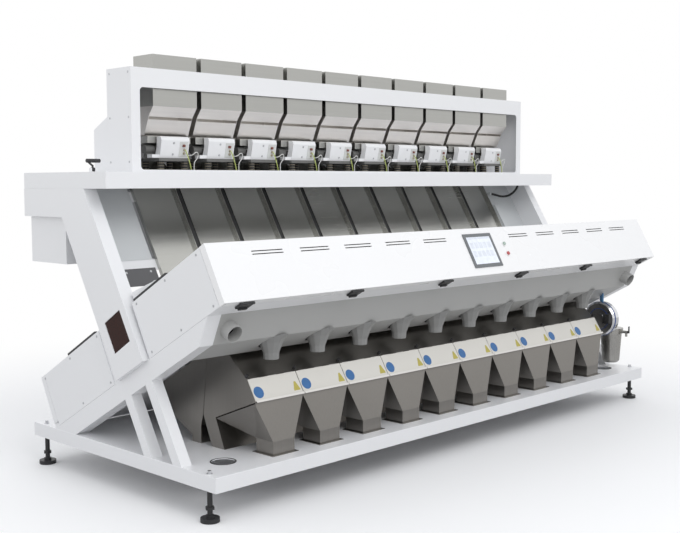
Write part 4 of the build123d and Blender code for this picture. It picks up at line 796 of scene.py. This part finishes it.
# %% Helper that sets a part on many spots
def fasten(name, spots, body, slot, material, tree=fastener, **sizes):
    """One plain mesh with a part on every spot, each a place and the way it faces."""
    points = bpy.data.meshes.new(name + "_spots")
    points.from_pydata([tuple(place) for place, way in spots], [], [])
    ways = points.attributes.new("facing", "FLOAT_VECTOR", "POINT")
    for item, (place, way) in zip(ways.data, spots):
        item.vector = way
    piece = bpy.data.objects.new(name, points)
    scene.collection.objects.link(piece)
    modifier = piece.modifiers.new("fasteners", "NODES")
    modifier.node_group = tree
    settings = {key.replace("_", " ").title(): value for key, value in sizes.items()}
    settings["Finish"] = material
    for socket in tree.interface.items_tree:
        if socket.item_type == "SOCKET" and socket.in_out == "INPUT" and socket.name in settings:
            modifier[socket.identifier] = settings[socket.name]
    graph = bpy.context.evaluated_depsgraph_get()
    made = bpy.data.meshes.new_from_object(piece.evaluated_get(graph), depsgraph=graph)
    piece.modifiers.remove(modifier)
    piece.data = made
    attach(piece, body)
    print(name, len(spots), "pieces", len(made.polygons), "faces")


# %% Screws on covers, housing and drive covers
COVER_SIDE, HOUSING_SIDE = 2.1003, 1.8738
screw_spots = []
for side in (-1, 1):
    for back in (0.085, 0.380, 0.670, 1.115, 1.440, 1.760):
        for down in (0.022, 0.296):
            screw_spots.append((box_place(side * COVER_SIDE, back, down), (side, 0, 0)))
for side in (-1, 1):
    for back in (1.020, 1.206):
        for z in (1.800, 2.050, 2.300):
            screw_spots.append((spot(side * HOUSING_SIDE, back, z), (side, 0, 0)))
cover_out = tuple(cover_place(0, 0, 1) - cover_place(0, 0, 0))
for centre in centres:
    for up in (0.022, 0.088):
        screw_spots.append((cover_place(centre - 0.005, up, 0.0003), cover_out))
fasten("cover_screws", screw_spots, "main_frame", "stainless", screw_zinc)

# %% Washers of the rubber mounts
UP = (0, 0, 1)
washer_spots = []
for centre in centres:
    for side in (-1, 1):
        for back in (1.052, 1.200):
            for z in (1.7475, 1.7640, 1.7805, 1.7970):
                washer_spots.append((spot(centre + side * 0.085, back, z), UP))
fasten(
    "mount_washers",
    washer_spots,
    "main_frame",
    "spring_board",
    tan_rubber,
    sides=12,
    head_radius=0.0183,
    head_height=0.003,
    washer_radius=0.0205,
    washer_height=0.0022,
)

# %% Bolts on the deck
DECK_TOP = 0.2435
bolt_spots = []
for name in FEET:
    low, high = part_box(name)
    x, y = (low[0] + high[0]) / 2, (low[1] + high[1]) / 2
    bolt_spots.append((Vector((x, y, DECK_TOP)), UP))
fasten(
    "deck_bolts",
    bolt_spots,
    "main_frame",
    "stainless",
    screw_zinc,
    head_radius=0.011,
    head_height=0.016,
    top_share=0.94,
    washer_radius=0.016,
)

# %% [markdown]
# ## The back of the machine
# The back isn't in the photograph. It gets what such a machine needs there: doors in the control cabinet
# with seams, quarter-turn locks and louvres, screws along the rear cover, and pulls on the rear door.
# Beside the chutes, three more screws on each side hold the panel brackets.

# %% Screws, locks and bracket screws
BACKWARDS = (0, 1, 0)
REAR_COVER_BACK, CABINET_BACK = 1.3763, 1.7293
BRACKET_OUT = 0.0003
chute_out = (0, -math.sin(LEAN), math.cos(LEAN))
rear_screws = []
for k in range(11):
    for z in (1.772, 1.966):
        rear_screws.append((spot(0.35 * (k - 5), REAR_COVER_BACK, z), BACKWARDS))
for side in (-1, 1):
    for x, z in ((1.765, 1.125), (1.765, 1.180), (1.930, 1.180)):
        rear_screws.append((chute_place(side * x, BRACKET_OUT, z), chute_out))
fasten("rear_screws", rear_screws, "main_frame", "stainless", screw_zinc)
lock_spots = []
for door_left in (-2.06, -0.69, 0.69):
    for z in (1.29, 1.58):
        lock_spots.append((spot(door_left + 0.06, CABINET_BACK, z), BACKWARDS))
fasten(
    "cabinet_locks",
    lock_spots,
    "main_frame",
    "stainless",
    screw_zinc,
    sides=20,
    head_radius=0.013,
    head_height=0.012,
    washer_radius=0.019,
    washer_height=0.003,
)

# %% Seams of the cabinet and pulls of the rear door
SEAM_HALF, SEAM_IN, SEAM_OUT = 0.0015, CABINET_BACK - 0.002, CABINET_BACK + 0.0006
SEAM_LOW, SEAM_HIGH, SEAM_END = 1.232, 1.632, 2.08
seams = bmesh.new()
for x in (-0.69, 0.69):
    block(seams, spot(x - SEAM_HALF, SEAM_IN, SEAM_LOW), spot(x + SEAM_HALF, SEAM_OUT, SEAM_HIGH))
for z in (SEAM_LOW, SEAM_HIGH):
    block(seams, spot(-SEAM_END, SEAM_IN, z - SEAM_HALF), spot(SEAM_END, SEAM_OUT, z + SEAM_HALF))
hand_over("cabinet_seams", seams, [black_rubber], "main_frame")
PULL_FOOT, PULL_BAR, PULL_DOWN = 1.8035, 1.832, 0.225
pulls = bmesh.new()
for x in (-1.56, -0.78, 0.0, 0.78, 1.56):
    for side in (-0.055, 0.055):
        foot, tip = box_place(x + side, PULL_FOOT, PULL_DOWN), box_place(x + side, PULL_BAR, PULL_DOWN)
        rod(pulls, foot, tip, 0.006, 12)
    start, end = box_place(x - 0.068, PULL_BAR, PULL_DOWN), box_place(x + 0.068, PULL_BAR, PULL_DOWN)
    rod(pulls, start, end, 0.008, 12)
hand_over("rear_pulls", pulls, [black_plastic], "rear_door")

# %% Louvres of the cabinet
louvre, given = open_points("louvres_on_points", ("Slat", "Vector", None), ("Slope", "Vector", None))
slat = node(louvre, "GeometryNodeMeshCube", Size=given["Slat"])
close_points(louvre, given, slat.outputs["Mesh"], given["Slope"])
louvre_spots = []
for middle in (-1.375, 0.0, 1.375):
    for group in (-0.22, 0.22):
        for row in range(9):
            place = spot(middle + group, CABINET_BACK + 0.002, 1.36 + 0.02 * row)
            louvre_spots.append((place, BACKWARDS))
fasten(
    "cabinet_louvres",
    louvre_spots,
    "main_frame",
    "white_paint",
    white_paint,
    tree=louvre,
    slat=(0.26, 0.009, 0.003),
    slope=(math.radians(-38), 0.0, 0.0),
)

# %% [markdown]
# ## Air drum and deck ports
# The polished drum has a dark blue rim, a thin ring around its hub and a black connection block, and the
# round ports in the deck have a black lip. The rings are washers around an axis.

# %% Rings
drum = spot(1.835, 0.225, 0.628)
rings = bmesh.new()
band(rings, drum + Vector((0.014, 0, 0)), drum + Vector((0.026, 0, 0)), 0.1285, 0.1335)
band(rings, drum + Vector((-0.0015, 0, 0)), drum + Vector((0.002, 0, 0)), 0.078, 0.083)
hand_over("drum_rings", rings, [rim_blue], "main_frame")
contact = bmesh.new()
block(contact, drum + Vector((-0.0285, -0.103, -0.027)), drum + Vector((0.004, -0.049, 0.043)))
for z in (-0.010, 0.012, 0.034):
    start = drum + Vector((-0.0280, -0.076, z - 0.008))
    rod(contact, start, start + Vector((-0.010, 0, 0)), 0.007, 12)
hand_over("drum_contact", contact, [black_plastic], "main_frame", bevel=0.003)
lips = bmesh.new()
for side in (-1, 1):
    port = spot(side * 1.880, 0.213, 0.2428)
    band(lips, port, port + Vector((0, 0, 0.0022)), 0.0625, 0.069)
hand_over("port_lips", lips, [black_rubber], "main_frame")
